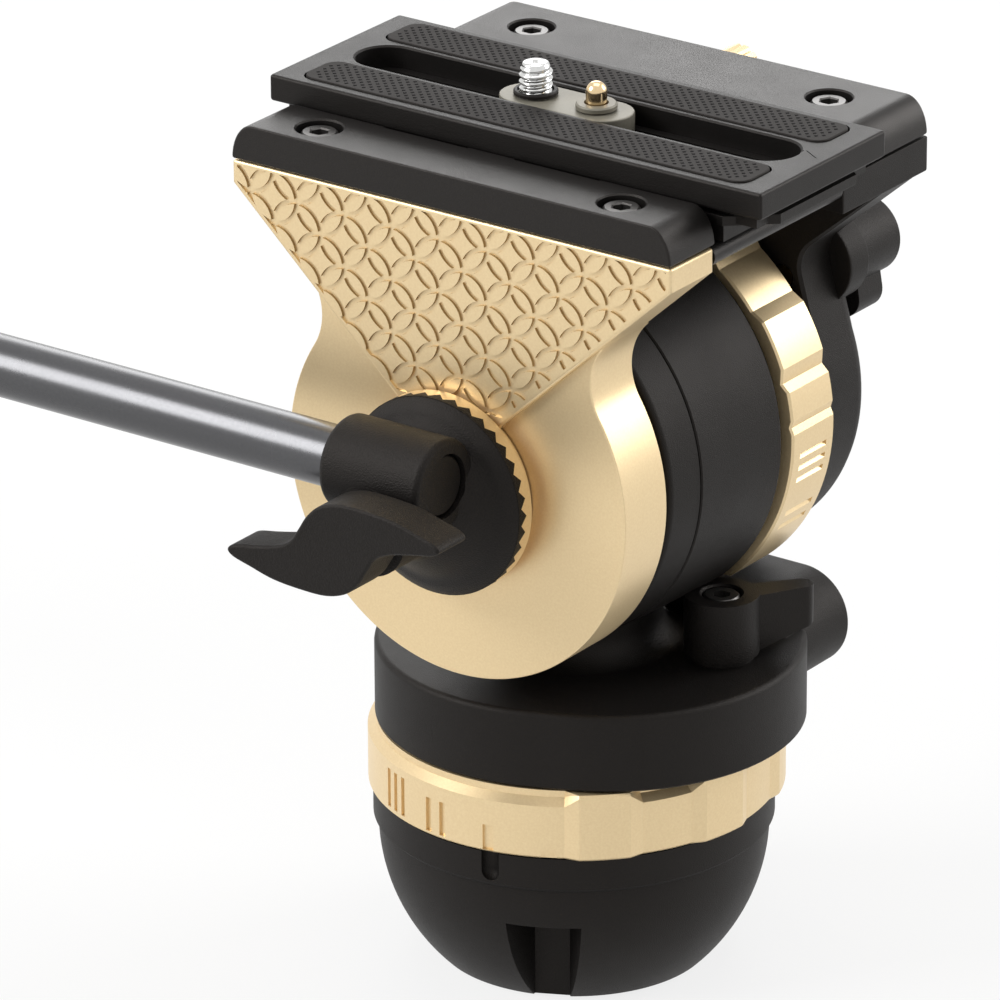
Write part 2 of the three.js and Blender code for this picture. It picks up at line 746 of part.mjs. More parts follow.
function tiltRotor() {
  const near = tiltRotorFar - tiltDiscWidth;
  const inner = shaftRadius + gap;
  return turnY([[inner, near - tiltDiscWidth], [bearingRadius, near - tiltDiscWidth], [bearingRadius, near],
    [drumBoreRadius - runningGap, near], [drumBoreRadius - runningGap, tiltRotorFar], [inner, tiltRotorFar],
    [inner, near - tiltDiscWidth]], medium);
}

const springNear = drumSeam + damperWall + springWireRadius + gap;
const springFar = tiltRotorFar - tiltDiscWidth - gap - springWireRadius;
const springPitch = (springFar - springNear) / springTurns;
const springHubRadius = springRadius - springWireRadius - 2 * runningGap;

// Torsion spring that carries the camera's weight, as one unbroken wire.
function counterbalanceSpring() {
  class Coil extends THREE.Curve {
    getPoint(t) {
      const turn = 2 * Math.PI * springTurns * t;
      const along = springNear + springPitch * springTurns * t;
      return new THREE.Vector3(springRadius * Math.cos(turn), along, springRadius * Math.sin(turn));
    }
  }
  const wire = new THREE.Shape();
  wire.absarc(0, 0, springWireRadius, 0, 2 * Math.PI, false);
  return new THREE.ExtrudeGeometry(wire, {
    steps: 14 * springTurns, curveSegments: 3, bevelEnabled: false, extrudePath: new Coil(),
  });
}

function springHub() {
  const near = springNear - springWireRadius;
  const far = tiltRotorFar - 2 * tiltDiscWidth - gap;
  return turnY(ringOutline(shaftRadius + gap, springHubRadius, near, far), medium);
}

function tiltShaft() {
  return turnY(discOutline(shaftRadius, discFront + damperWall + gap, armFar - damperWall - gap, gap), medium);
}

function tiltDragRing() {
  const inner = tiltRingRadius - tiltRingWall;
  let ring = solid(turnY([[inner, tiltRingNear], [tiltRingRadius, tiltRingNear], [tiltRingRadius, tiltRingFar],
    [inner, tiltRingFar], [inner, tiltRingNear]], fine));
  for (let i = 0; i < tiltPadCount; i++) {
    const start = tiltPadStartAngle + padPitchAngle * i;
    ring = join(ring, solid(prismY(padShape(tiltRingRadius, tiltRingWall, start), tiltRingNear, tiltRingFar)));
  }
  const smoothStart = tiltPadStartAngle + padPitchAngle * tiltPadCount - padBevelAngle;
  const smoothEnd = 360 + 2;
  const steps = 8;
  const arc = [];
  for (let i = 0; i <= steps; i++) {
    arc.push(polar(tiltRingRadius + ringPadRise, smoothStart + (smoothEnd - smoothStart) * i / steps));
  }
  arc.push(polar(tiltRingRadius - tiltRingWall / 2, smoothEnd + padBevelAngle));
  for (let i = steps; i >= 0; i--) {
    arc.push(polar(tiltRingRadius - tiltRingWall / 2, smoothStart + (smoothEnd - smoothStart) * i / steps));
  }
  ring = join(ring, solid(prismY(polygon(arc), tiltRingNear, tiltRingFar)));
  for (let mark = 2; mark <= 3; mark++) {
    for (let line = 0; line < mark; line++) {
      const spread = (line - (mark - 1) / 2) * markSpacingAngles[mark - 1];
      const angle = tiltMarkAngle - markPitchAngle * (3 - mark) - spread;
      const half = markWidths[mark - 1] / 2;
      const groove = block(tiltRingRadius + ringPadRise - markDepth, tiltRingRadius + ringPadRise + overrun,
        tiltRingNear + tiltMarkInset, tiltRingFar - tiltMarkInset, -half, half).rotateY(-degrees(angle));
      ring = cut(ring, solid(groove));
    }
  }
  return toGeometry(ring);
}

// Gold disc and cheek in one casting, blended by a concave fillet on both sides.
function nearBracket() {
  const disc = solid(turnY(discOutline(discRadius, discFront, discBack, discEdge), fine));
  const shoulder = cheekTop - cheekEndHeight;
  const runX = cheekHalfWidth - cheekFootHalfWidth;
  const runZ = shoulder - cheekFootHeight;
  const run = Math.hypot(runX, runZ);
  const alongX = runX / run;
  const alongZ = runZ / run;
  const cheekOutline = polygon([[-cheekHalfWidth, shoulder], [-cheekFootHalfWidth, cheekFootHeight],
    [0, 0], [cheekFootHalfWidth, cheekFootHeight], [cheekHalfWidth, shoulder],
    [cheekHalfWidth, cheekTop], [-cheekHalfWidth, cheekTop]]);
  const bossRoom = solid(turnY(discOutline(rosetteRadius + gap, cheekFront - overrun, discFront + overrun), fine));
  const cheek = cut(solid(prismY(cheekOutline, cheekFront, cheekBack)), bossRoom);
  const footAlong = cheekFootHalfWidth * alongX + cheekFootHeight * alongZ;
  const lineOut = cheekFootHalfWidth * alongZ - cheekFootHeight * alongX;
  const reach = discRadius + cheekFillet;
  const centreOut = lineOut + cheekFillet;
  const centreAlong = Math.sqrt(reach * reach - centreOut * centreOut);
  const toXZ = (along, out) => [along * alongX + out * alongZ, along * alongZ - out * alongX];
  const web = [[0, 0], toXZ(footAlong, lineOut), toXZ(centreAlong, lineOut)];
  const startTurn = -Math.PI / 2;
  const endTurn = Math.atan2(-centreOut, -centreAlong);
  const arcSteps = 6;
  for (let i = 1; i <= arcSteps; i++) {
    const turn = startTurn + (endTurn - startTurn) * i / arcSteps;
    web.push(toXZ(centreAlong + cheekFillet * Math.cos(turn), centreOut + cheekFillet * Math.sin(turn)));
  }
  let body = join(disc, cheek);
  for (const side of [1, -1]) {
    const shape = polygon(web.map(([x, z]) => [side * x, z]));
    body = join(body, solid(prismY(shape, discFront, discBack - gap)));
  }
  const shaftBore = solid(turnY(discOutline(shaftRadius + gap, discFront + damperWall, discBack + overrun), medium));
  const studBore = solid(turnY(discOutline(knobStudRadius + gap, cheekFront - overrun,
    discFront + damperWall + overrun), coarse));
  body = cut(body, shaftBore, studBore);
  for (const x of [-railScrewReach, railScrewReach]) {
    const bore = solid(turnZ(discOutline(screwBoreRadius, cheekTop - railHeight, cheekTop + overrun), coarse)
      .translate(x, nearScrewY, 0));
    body = cut(body, bore);
  }
  return toGeometry(body);
}

// A thin wall round the Y axis whose far edge runs up and down in pointed teeth.
function toothedWall(inner, outer, foot, valley, tip, teeth) {
  const position = [];
  const index = [];
  const steps = 2 * teeth;
  for (let i = 0; i < steps; i++) {
    const turn = 2 * Math.PI * i / steps;
    const edge = i % 2 === 0 ? tip : valley;
    for (const [radius, along] of [[outer, foot], [outer, edge], [inner, edge], [inner, foot]]) {
      position.push(radius * Math.cos(turn), along, radius * Math.sin(turn));
    }
    const next = (i + 1) % steps;
    for (let side = 0; side < 4; side++) {
      const after = (side + 1) % 4;
      index.push(4 * i + side, 4 * i + after, 4 * next + after);
      index.push(4 * i + side, 4 * next + after, 4 * next + side);
    }
  }
  return closedMesh(position, index);
}

// Stepped boss: a round base sunk in the foot of the cheek, and a spigot inside the crown of teeth.
function rosetteBoss() {
  const spigotRadius = rosetteRadius - rosetteWall - gap;
  const inside = knobStudRadius + gap;
  return turnY([[inside, bossFront], [spigotRadius, bossFront], [spigotRadius, bossFace],
    [rosetteRadius, bossFace], [rosetteRadius, discFront - gap], [inside, discFront - gap],
    [inside, bossFront]], fine);
}

// Points of an arc from one turn to another, in the X-Z plane.
function arcPoints(x, z, radius, from, to, steps) {
  const points = [];
  for (let i = 0; i <= steps; i++) {
    const [stepX, stepZ] = polar(radius, from + (to - from) * i / steps);
    points.push([x + stepX, z + stepZ]);
  }
  return points;
}

function farArm() {
  const disc = solid(turnY([[0, armNear], [armRadius, armNear], [armRadius, armFar - armEdge],
    [armRadius - armShoulder, armFar - armShoulder], [armRadius - armEdge, armFar], [0, armFar]], fine));
  const blockBottom = cheekTop - armBlockHeight;
  const waist = arcPoints(armNeckHalf + armNeckFillet, armNeckHeight, armNeckFillet,
    180 + armWaistAngle, 180 - armFlareAngle, 4);
  const flareX = waist[waist.length - 1][0] + armFlareReach;
  const edge = [[armRadius, 0], ...waist, [flareX, blockBottom + gap], [flareX, cheekTop - gap]];
  const flareOutline = polygon([...edge, ...edge.map(([x, z]) => [-x, z]).reverse()]);
  const flare = solid(prismY(flareOutline, armNear, armFar - armShoulder));
  const head = solid(block(-railHalfLength, railHalfLength, armBlockNear, farRailBack, blockBottom, cheekTop));
  const lug = solid(turnY(discOutline(lugRadius, armFar - lugDepth, armFar + lugProud, gap), medium)
    .translate(lugX, 0, lugZ));
  const shaftBore = solid(turnY(discOutline(shaftRadius + gap, armNear - overrun, armFar - damperWall), medium));
  const lockBore = solid(turnY(discOutline(tiltStudRadius + gap, armNear - overrun,
    armFar + lugProud + overrun), coarse).translate(lugX, 0, lugZ));
  let body = cut(join(disc, flare, head, lug), shaftBore, lockBore);
  for (const x of [-railScrewReach, railScrewReach]) {
    const bore = solid(turnZ(discOutline(screwBoreRadius, cheekTop - railHeight, cheekTop + overrun), coarse)
      .translate(x, farScrewY, 0));
    body = cut(body, bore);
  }
  return toGeometry(body);
}

function platformBed() {
  const top = cheekTop;
  const half = bedThickness / 2;
  const outline = slotOutline(2 * bedHalfLength, bedThickness, 0, top - half);
  return prismY(outline, cheekBack + gap, armBlockNear - gap, 0, 8);
}

const railBottom = cheekTop + gap;
const railTop = railBottom + railHeight;

// A rail with elliptical ends, counterbored for its two screws.
function railBody(front, back, screwY) {
  const outline = new THREE.Shape();
  outline.moveTo(-railHalfLength, railBottom);
  outline.lineTo(railHalfLength, railBottom);
  outline.absellipse(railHalfLength - railEndRun, railBottom, railEndRun, railHeight, 0, Math.PI / 2, false);
  outline.absellipse(-railHalfLength + railEndRun, railBottom, railEndRun, railHeight,
    Math.PI / 2, Math.PI, false);
  let body = solid(prismY(outline, front, back, railEdge, 6));
  for (const x of [-railScrewReach, railScrewReach]) {
    const bore = turnZ([[0, railBottom - overrun], [screwBoreRadius, railBottom - overrun],
      [screwBoreRadius, railTop - counterboreDepth], [counterboreRadius, railTop - counterboreDepth],
      [counterboreRadius, railTop + overrun], [0, railTop + overrun]], medium).translate(x, screwY, 0);
    body = cut(body, solid(bore));
  }
  return body;
}

function nearRail() {
  let body = railBody(nearRailFront, nearRailBack, nearScrewY);
  for (const side of [-1, 1]) {
    const low = side > 0 ? notchInner : -notchOuter;
    const notch = block(low, low + notchOuter - notchInner, nearRailBack - notchDepth, nearRailBack + overrun,
      railBottom - overrun, railTop + overrun);
    body = cut(body, solid(notch));
  }
  return toGeometry(body);
}

function farRail() {
  const stud = solid(turnY(discOutline(plateLockStudRadius + gap, farRailFront - overrun,
    farRailBack + overrun), coarse).translate(plateLockX, 0, plateLockZ));
  const room = solid(block(plateLockX - gibLength / 2 - gap, plateLockX + gibLength / 2 + gap,
    farRailFront - overrun, farRailFront + gibWidth + 2 * gap, plateLockZ - gibHeight / 2 - gap,
    plateLockZ + gibHeight / 2 + gap));
  return toGeometry(cut(railBody(farRailFront, farRailBack, farScrewY), stud, room));
}

function gibBar() {
  return block(plateLockX - gibLength / 2, plateLockX + gibLength / 2, farRailFront + gap,
    farRailFront + gap + gibWidth, plateLockZ - gibHeight / 2, plateLockZ + gibHeight / 2);
}

// The sliding plate is drawn about its own centre: slab, waist, flange with lead-in corners, runner.
function slidingPlate() {
  const halfX = plateLength / 2;
  const halfY = plateWidth / 2;
  const slabBottom = plateTop - plateSlab;
  const waistBottom = slabBottom - plateWaistHeight;
  const flangeBottom = waistBottom - plateFlangeHeight;
  const slabSection = polygon([[-halfY, slabBottom], [halfY, slabBottom], [halfY, plateTop - plateEdge],
    [halfY - plateEdge, plateTop], [plateEdge - halfY, plateTop], [-halfY, plateTop - plateEdge]]);
  const slab = solid(prismX(slabSection, -halfX, halfX, plateEdge / 2));
  const waistX = halfX - plateWaistInset;
  const waistY = halfY - plateWaistInset;
  const waist = solid(block(-waistX, waistX, -waistY, waistY, flangeBottom + gap, slabBottom + gap));
  const flangeX = halfX - plateFlangeInset;
  const flangeY = halfY - plateFlangeInset;
  const leadX = flangeX - plateLeadX;
  const leadY = flangeY - plateLeadY;
  const flangePlan = polygon([[-leadX, -flangeY], [leadX, -flangeY], [flangeX, -leadY], [flangeX, leadY],
    [leadX, flangeY], [-leadX, flangeY], [-flangeX, leadY], [-flangeX, -leadY]]);
  const flange = solid(prismZ(flangePlan, flangeBottom, waistBottom));
  const runnerX = halfX - runnerEndInset;
  const runnerY = halfY - runnerInset;
  const runner = solid(block(-runnerX, runnerX, -runnerY, runnerY, plateFoot, flangeBottom + gap));
  const blank = join(slab, waist, flange, runner);
  const slot = solid(prismZ(slotOutline(slotLength, slotWidth), plateTop - slotDepth, plateTop + overrun));
  const neck = solid(prismZ(slotOutline(slotLength - slotWidth + slotNeckWidth, slotNeckWidth),
    plateFoot - overrun, plateTop + overrun));
  const groove = solid(prismZ(slotOutline(slotLength, headGrooveWidth), plateFoot - overrun,
    plateFoot + headGrooveDepth));
  const recess = [-padOffset, padOffset].map((y) => solid(prismZ(
    roundedRectangle(padLength + gap, padWidth + gap, padCorner, 0, y), plateTop - padSink, plateTop + overrun, 0, 4)));
  return toGeometry(cut(blank, slot, neck, groove, ...recess));
}

function gripPad() {
  return prismZ(roundedRectangle(padLength - gap, padWidth - gap, padCorner, 0, 0),
    plateTop - padSink + gap, plateTop - padSink + gap + padThickness, gap, 4);
}

const carrierBottom = plateTop - slotDepth + gap;
const carrierTop = plateTop - gap;

function screwCarrier() {
  const cap = solid(prismZ(slotOutline(carrierLength, carrierWidth), carrierBottom, carrierTop, gap));
  const keelBottom = plateFoot + headGrooveDepth + gap;
  const keelWidth = slotNeckWidth - 2 * gap;
  const keel = solid(prismZ(slotOutline(carrierLength - carrierWidth + keelWidth, keelWidth),
    keelBottom, carrierTop - gap));
  const screwX = cameraScrewX - carrierCentreX;
  const screwBore = solid(turnZ(discOutline(cameraScrewRadius + gap, keelBottom - overrun,
    carrierTop + overrun), coarse).translate(screwX, 0, 0));
  const pinBore = solid(turnZ(discOutline(pinRadius + gap, keelBottom - overrun,
    carrierTop + overrun), coarse).translate(pinX - carrierCentreX, 0, 0));
  return toGeometry(cut(join(cap, keel), screwBore, pinBore));
}

function screwWasher() {
  return turnZ(ringOutline(cameraScrewRadius + gap, washerRadius, 0, washerHeight), coarse);
}

function pinBushing() {
  return turnZ(ringOutline(pinRadius + gap, pinFlangeRadius, 0, pinFlangeHeight), coarse);
}

// Camera screw with its slotted head in the groove under the plate.
function cameraScrew() {
  const headLow = plateFoot + gap;
  const headTop = plateFoot + headGrooveDepth;
  const headRadius = headGrooveWidth / 2 - 2 * gap;
  const top = carrierTop + cameraScrewRise;
  const body = solid(turnZ([[0, headLow], [headRadius, headLow], [headRadius, headTop],
    [cameraScrewRadius, headTop], [cameraScrewRadius, top - gap * 2], [cameraScrewRadius - gap * 2, top],
    [0, top]], coarse));
  const driver = solid(block(-headRadius - overrun, headRadius + overrun, -driverSlotWidth / 2, driverSlotWidth / 2,
    headLow - overrun, headLow + keyDepth));
  return toGeometry(cut(body, driver));
}

function locatingPin() {
  const top = carrierTop + pinRise;
  const outline = [[0, top - pinLength], [pinRadius, top - pinLength]];
  const steps = 4;
  for (let i = 0; i <= steps; i++) {
    const turn = Math.PI / 2 * i / steps;
    outline.push([pinRadius * Math.cos(turn), top - pinRadius + pinRadius * Math.sin(turn)]);
  }
  return turnZ(outline, coarse);
}

// Fluted knob on the far side, with the stud that presses the gib.
function plateLockKnob() {
  const points = [];
  const pitch = 360 / plateLockFlutes;
  for (let i = 0; i < plateLockFlutes; i++) {
    points.push(polar(plateLockRadius * fluteShare, pitch * i), polar(plateLockRadius, pitch * (i + 1 / 4)),
      polar(plateLockRadius, pitch * (i + 3 / 4)));
  }
  const knob = solid(prismY(polygon(points), gap, plateLockLength, gap));
  const stud = solid(turnY(discOutline(plateLockStudRadius,
    farRailFront + 2 * gap + gibWidth - farRailBack, plateLockLength / 2), coarse));
  return toGeometry(join(knob, stud));
}

// Flat wing that tapers from a hub to a rounded tip, seen along the hub's axis.
function wingOutline(reach, root, tip) {
  const shape = new THREE.Shape();
  shape.moveTo(0, -root);
  shape.lineTo(reach - tip, -tip);
  shape.absarc(reach - tip, 0, tip, -Math.PI / 2, Math.PI / 2, false);
  shape.lineTo(0, root);
  return shape;
}

function panLockLever() {
  const height = panLockTop - panLockBottom;
  const hub = solid(turnZ(discOutline(panLockHubRadius, 0, height, gap * 2), medium));
  const blade = solid(prismZ(wingOutline(panLockReach, wingRootHalf, wingTipHalf), gap, height - gap, gap * 2));
  const underside = solid(prismY(polygon([[panLockHubRadius - gap, -overrun], [panLockReach + overrun, -overrun],
    [panLockReach + overrun, height - panLockTipHeight], [panLockHubRadius - gap, gap]]),
    -panLockHubRadius, panLockHubRadius));
  const wing = cut(blade, underside).rotate([0, 0, panLockAngle]);
  const stud = solid(turnZ(discOutline(lockStudRadius, footBottom + lockPadHeight + 2 * gap - panLockBottom,
    height / 2), coarse));
  const well = solid(turnZ(discOutline(screwHeadRadius + gap, height - screwHeadHeight,
    height + overrun), coarse));
  return toGeometry(cut(join(hub, wing, stud), well));
}

// The lever's own screw: a socket head sunk into the hub.
function leverScrew() {
  const height = panLockTop - panLockBottom;
  const low = height - screwHeadHeight + gap;
  const head = solid(turnZ(discOutline(screwHeadRadius, low, height - gap, gap), coarse));
  const key = solid(turnZ(discOutline(keyRadius, height - keyDepth - gap, height + overrun), 6));
  return toGeometry(cut(head, key));
}

function lockPad() {
  return turnZ(discOutline(lockStudRadius, footBottom + gap, footBottom + gap + lockPadHeight), coarse);
}

function tiltLockKnob() {
  const near = lugProud + gap;
  const hub = solid(turnY(discOutline(tiltLockHubRadius, near + gap, near + tiltLockLength, gap * 3), medium));
  const wing = solid(prismY(wingOutline(tiltLockReach, tiltLockRootHalf, tiltLockTipHalf), near + gap * 2,
    near + tiltLockWingWidth, gap * 2).rotateY(-degrees(tiltLockAngle)));
  const stud = solid(turnY(discOutline(tiltStudRadius, armNear - armFar + lockPadHeight + 3 * gap,
    near + tiltLockLength / 2), coarse));
  return toGeometry(join(hub, wing, stud));
}

function tiltLockPad() {
  return turnY(discOutline(tiltStudRadius, armNear + gap, armNear + gap + lockPadHeight), coarse);
}

// Crown of teeth, domed flange, hub and sleeve of the handle clamp in one piece.
function handleClamp() {
  const flangeRadius = rosetteRadius - gap;
  const flangeFront = clampBack - clampRimWidth;
  const crown = solid(toothedWall(rosetteRadius - rosetteWall, rosetteRadius, clampBack - gap,
    clampBack, bossFace - gap, rosetteTeeth));
  const flange = solid(turnY([[0, clampBack], [flangeRadius, clampBack], [flangeRadius, flangeFront + gap * 2],
    [flangeRadius - gap * 2, flangeFront], [clampStepRadius, flangeFront - gap], [clampHubRadius, clampDomeFront],
    [0, clampDomeFront]], fine));
  const hub = solid(turnY(discOutline(clampHubRadius, clampHubFront, clampDomeFront + overrun, gap), medium));
  const sleeve = solid(turnX(discOutline(sleeveRadius, sleeveLeft, sleeveRight, sleeveEdge), medium)
    .translate(0, sleeveY, sleeveZ));
  const tubeBore = solid(turnX(discOutline(tubeRadius + gap, sleeveLeft - overrun, sleeveRight + overrun), medium)
    .translate(0, sleeveY, sleeveZ));
  const studBore = solid(turnY(discOutline(knobStudRadius + gap, clampHubFront - overrun,
    clampBack + overrun), coarse));
  return toGeometry(cut(join(crown, flange, hub, sleeve), tubeBore, studBore));
}

// S-shaped wing knob: one curved half outline, repeated by a half turn.
function wingKnob() {
  const half = wingHalfShares.map(([x, z]) => new THREE.Vector3(x * wingHalfSpan, z * wingHalfHeight, 0));
  const closed = new THREE.CatmullRomCurve3([...half, ...half.map((point) => point.clone().negate())],
    true, 'centripetal');
  const outline = closed.getPoints(wingPoints).slice(0, -1).map((p) => [p.x, p.y]).reverse();
  const depth = knobBack - knobFront;
  const layers = wingLayerShares.map(([alongShare, share]) => [knobFront + depth * alongShare,
    1 - (1 - share) * wingHalfHeight / wingHalfSpan, share]);
  const wings = solid(layeredY(outline, layers));
  const stud = solid(turnY(discOutline(knobStudRadius, knobFront + overrun, discFront + gap), coarse));
  return toGeometry(join(wings, stud));
}

function handleTube() {
  const inner = tubeRadius - tubeWall;
  return turnX(ringOutline(inner, tubeRadius, tubeTailX, tubeEndX), medium);
}

function tubePlug() {
  return turnX([[0, tubeEndX - plugDepth], [tubeRadius - tubeWall - gap, tubeEndX - plugDepth],
    [tubeRadius - tubeWall - gap, tubeEndX - gap], [0, tubeEndX - gap]], coarse);
}

// Rubber grip with a waist and rounded shoulders, open for the tube.
function handleGrip() {
  const bore = tubeRadius + gap;
  const tail = tubeTailX + gap;
  const outline = [[bore, tail]];
  const stations = [[0.8, 0], [0.97, 0.04], [1, 0.12], [0.94, 0.35], [0.91, 0.55], [0.94, 0.78], [0.98, 0.9],
    [0.86, 0.97], [0.66, 1]];
  for (const [widthShare, alongShare] of stations) {
    outline.push([gripRadius * widthShare, tail + gripLength * alongShare]);
  }
  outline.push([bore, tail + gripLength], [bore, tail]);
  return turnX(outline, medium);
}

function gripCap() {
  const inside = tubeRadius - tubeWall - gap;
  return turnX([[0, tubeTailX + gripCapLength], [inside, tubeTailX + gripCapLength],
    [inside, tubeTailX - gap], [gripRadius * 0.78, tubeTailX - gap], [gripRadius * 0.72, tubeTailX - gripCapLength / 2],
    [0, tubeTailX - gripCapLength / 2 - gap]], medium);
}

function levelBezel() {
  const low = footTop - levelSink;
  const inner = levelRadius - levelWall;
  return turnZ([[0, low], [levelRadius, low], [levelRadius, low + levelHeight - gap],
    [levelRadius - gap, low + levelHeight], [inner, low + levelHeight], [inner, low + levelWall],
    [0, low + levelWall]], medium);
}

function levelVial() {
  const low = footTop - levelSink + levelWall + gap;
  const radius = levelRadius - levelWall - gap;
  return turnZ([[0, low], [radius, low], [radius, low + levelHeight - levelWall - gap * 2],
    [radius * 0.6, low + levelHeight - levelWall - gap], [0, low + levelHeight - levelWall]], coarse);
}

const head = new THREE.Group();

// Fixed base: half ball, insert, spindle, damper case and screws.
const base = group(head);
place(base, 'ball_base', ballBase(), blackCast);
place(base, 'thread_insert', threadInsert(), steel);
for (let i = 0; i < 3; i++) {
  const [x, y] = polar(baseScrewReach, baseScrewAngle + 120 * i);
  const screw = place(base, `base_screw_${i + 1}`, socketScrew(bowlFloor), darkSteel, x, y,
    counterboreDepth - gap);
  screw.rotation.x = Math.PI;
}
place(base, 'pan_spindle', panSpindle(), steel);
place(base, 'spindle_nut', spindleNut(), steel);
place(base, 'pan_damper_case', damperCase(), steel);
place(base, 'pan_damper_stator', panStator(), steel);
place(base, 'pan_seal', turnZ(ringOutline(damperCaseRadius - damperWall, damperCaseRadius - gap,
  damperCaseTop + gap, footBottom - gap), medium), rubber);
place(base, 'pan_drag_ring', panDragRing(), gold);

// Pan unit, which turns on the spindle.
const pan = group(head);
place(pan, 'pan_body', panBody(), blackCast);
place(pan, 'pan_damper_rotor', panRotor(), brass);
place(pan, 'pan_bearing_lower', turnZ(ringOutline(spindleRadius + gap, rotorHubInner - gap,
  panRotorBottom + damperDiscHeight, footBottom - damperDiscHeight), medium), steel);
place(pan, 'pan_bearing_upper', turnZ(ringOutline(spindleRadius + gap,
  spindleRadius + bearingWall + 2 * gap + upperBearingWall, footBottom + damperDiscHeight / 2,
  spindleCavityTop - nutHeight - 3 * gap), medium), steel);
place(pan, 'pan_brake_pad', lockPad(), brass, panLockX, panLockY);
place(pan, 'level_bezel', levelBezel(), blackMoulded, levelX, levelY);
place(pan, 'level_vial', levelVial(), glass, levelX, levelY);
const panLock = group(pan, panLockX, panLockY, panLockBottom);
place(panLock, 'pan_lock_lever', panLockLever(), blackMoulded);
place(panLock, 'pan_lock_screw', leverScrew(), darkSteel);

// Tilt mechanism inside the drum, on the pan unit.
const drum = group(pan, 0, 0, tiltHeight);
place(drum, 'drum_cover', drumCover(), blackCast);
place(drum, 'tilt_bearing_near', tiltBearing(drumNear + gap), steel);
place(drum, 'tilt_bearing_far', tiltBearing(drumFar - bearingWidth - 2 * gap), steel);
place(drum, 'tilt_damper_stator', tiltStator(), steel);
place(drum, 'counterbalance_spring', counterbalanceSpring(), steel);
place(drum, 'tilt_drag_ring', tiltDragRing(), gold);

// Tilting unit: shaft, bracket, arm, bed and rails.
const tilt = group(head, 0, 0, tiltHeight);
place(tilt, 'tilt_shaft', tiltShaft(), steel);
place(tilt, 'tilt_damper_rotor', tiltRotor(), brass);
place(tilt, 'counterbalance_hub', springHub(), steel);
place(tilt, 'near_bracket', nearBracket(), gold);
place(tilt, 'rosette_boss', rosetteBoss(), gold);
place(tilt, 'far_arm', farArm(), blackCast);
place(tilt, 'tilt_brake_pad', tiltLockPad(), brass, lugX, 0, lugZ);
place(tilt, 'platform_bed', platformBed(), blackPlate);
place(tilt, 'near_rail', nearRail(), blackPlate);
place(tilt, 'far_rail', farRail(), blackPlate);
place(tilt, 'gib_bar', gibBar(), brass);
let screwNumber = 0;
for (const y of [nearScrewY, farScrewY]) {
  for (const x of [-railScrewReach, railScrewReach]) {
    screwNumber += 1;
    place(tilt, `rail_screw_${screwNumber}`, socketScrew(railHeight), darkSteel,
      x, y, railTop - counterboreDepth + gap);
  }
}
const tiltLock = group(tilt, lugX, armFar, lugZ);
place(tiltLock, 'tilt_lock_knob', tiltLockKnob(), blackMoulded);
const plateLock = group(tilt, plateLockX, farRailBack, plateLockZ);
place(plateLock, 'plate_lock_knob', plateLockKnob(), gold);

// Sliding plate with its pads, and the carrier in its slot.
const plate = group(tilt, plateCentreX, plateCentreY, 0);
place(plate, 'sliding_plate', slidingPlate(), blackPlate);
place(plate, 'near_pad', gripPad(), rubber, 0, -padOffset);
place(plate, 'far_pad', gripPad(), rubber, 0, padOffset);
const carrier = group(plate, carrierCentreX - plateCentreX, 0, 0);
place(carrier, 'screw_carrier', screwCarrier(), champagne);
const screwOffset = cameraScrewX - carrierCentreX;
const pinOffset = pinX - carrierCentreX;
place(carrier, 'screw_washer', screwWasher(), blackMoulded, screwOffset, 0, carrierTop + gap);
place(carrier, 'pin_bushing', pinBushing(), champagne, pinOffset, 0, carrierTop + gap);
place(carrier, 'camera_screw', cameraScrew(), steel, screwOffset);
place(carrier, 'locating_pin', locatingPin(), champagne, pinOffset);

// Handle: clamp on the rosette, wing knob, tube and grip.
const handle = group(tilt);
place(handle, 'handle_clamp', handleClamp(), blackMoulded);
place(handle, 'wing_knob', wingKnob(), blackMoulded);
const bar = group(handle, 0, sleeveY, sleeveZ);
place(bar, 'handle_tube', handleTube(), tubeFinish);
place(bar, 'tube_plug', tubePlug(), blackMoulded);
place(bar, 'handle_grip', handleGrip(), rubber);
place(bar, 'grip_cap', gripCap(), blackMoulded);

export default head;
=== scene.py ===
import bmesh
import bpy
import json
import math
from mathutils import Matrix, Vector


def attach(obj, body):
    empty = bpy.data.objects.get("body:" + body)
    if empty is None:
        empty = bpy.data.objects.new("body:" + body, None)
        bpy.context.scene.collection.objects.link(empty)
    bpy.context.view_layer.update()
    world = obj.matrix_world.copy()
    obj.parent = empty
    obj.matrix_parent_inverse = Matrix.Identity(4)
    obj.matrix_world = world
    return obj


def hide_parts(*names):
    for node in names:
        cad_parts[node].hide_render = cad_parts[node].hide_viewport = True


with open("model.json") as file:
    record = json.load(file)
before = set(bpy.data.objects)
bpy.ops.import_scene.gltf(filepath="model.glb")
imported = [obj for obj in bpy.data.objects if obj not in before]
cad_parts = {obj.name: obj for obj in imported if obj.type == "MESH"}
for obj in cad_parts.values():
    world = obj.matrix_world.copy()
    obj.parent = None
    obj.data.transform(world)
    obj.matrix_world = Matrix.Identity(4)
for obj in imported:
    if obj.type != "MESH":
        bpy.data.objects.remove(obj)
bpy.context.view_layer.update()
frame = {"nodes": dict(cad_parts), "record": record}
scene = bpy.context.scene
mm = 0.001
deg = math.pi / 180


def addNode(tree, kind, inputs=None, **settings):
    node = tree.nodes.new(kind)
    for name, value in settings.items():
        setattr(node, name, value)
    for socket, value in (inputs or {}).items():
        node.inputs[socket].default_value = value
    return node


def link(tree, *joins):  # each join names a node and its output, then a node and its input
    for start, output, end, socket in joins:
        tree.links.new(start.outputs[output], end.inputs[socket])


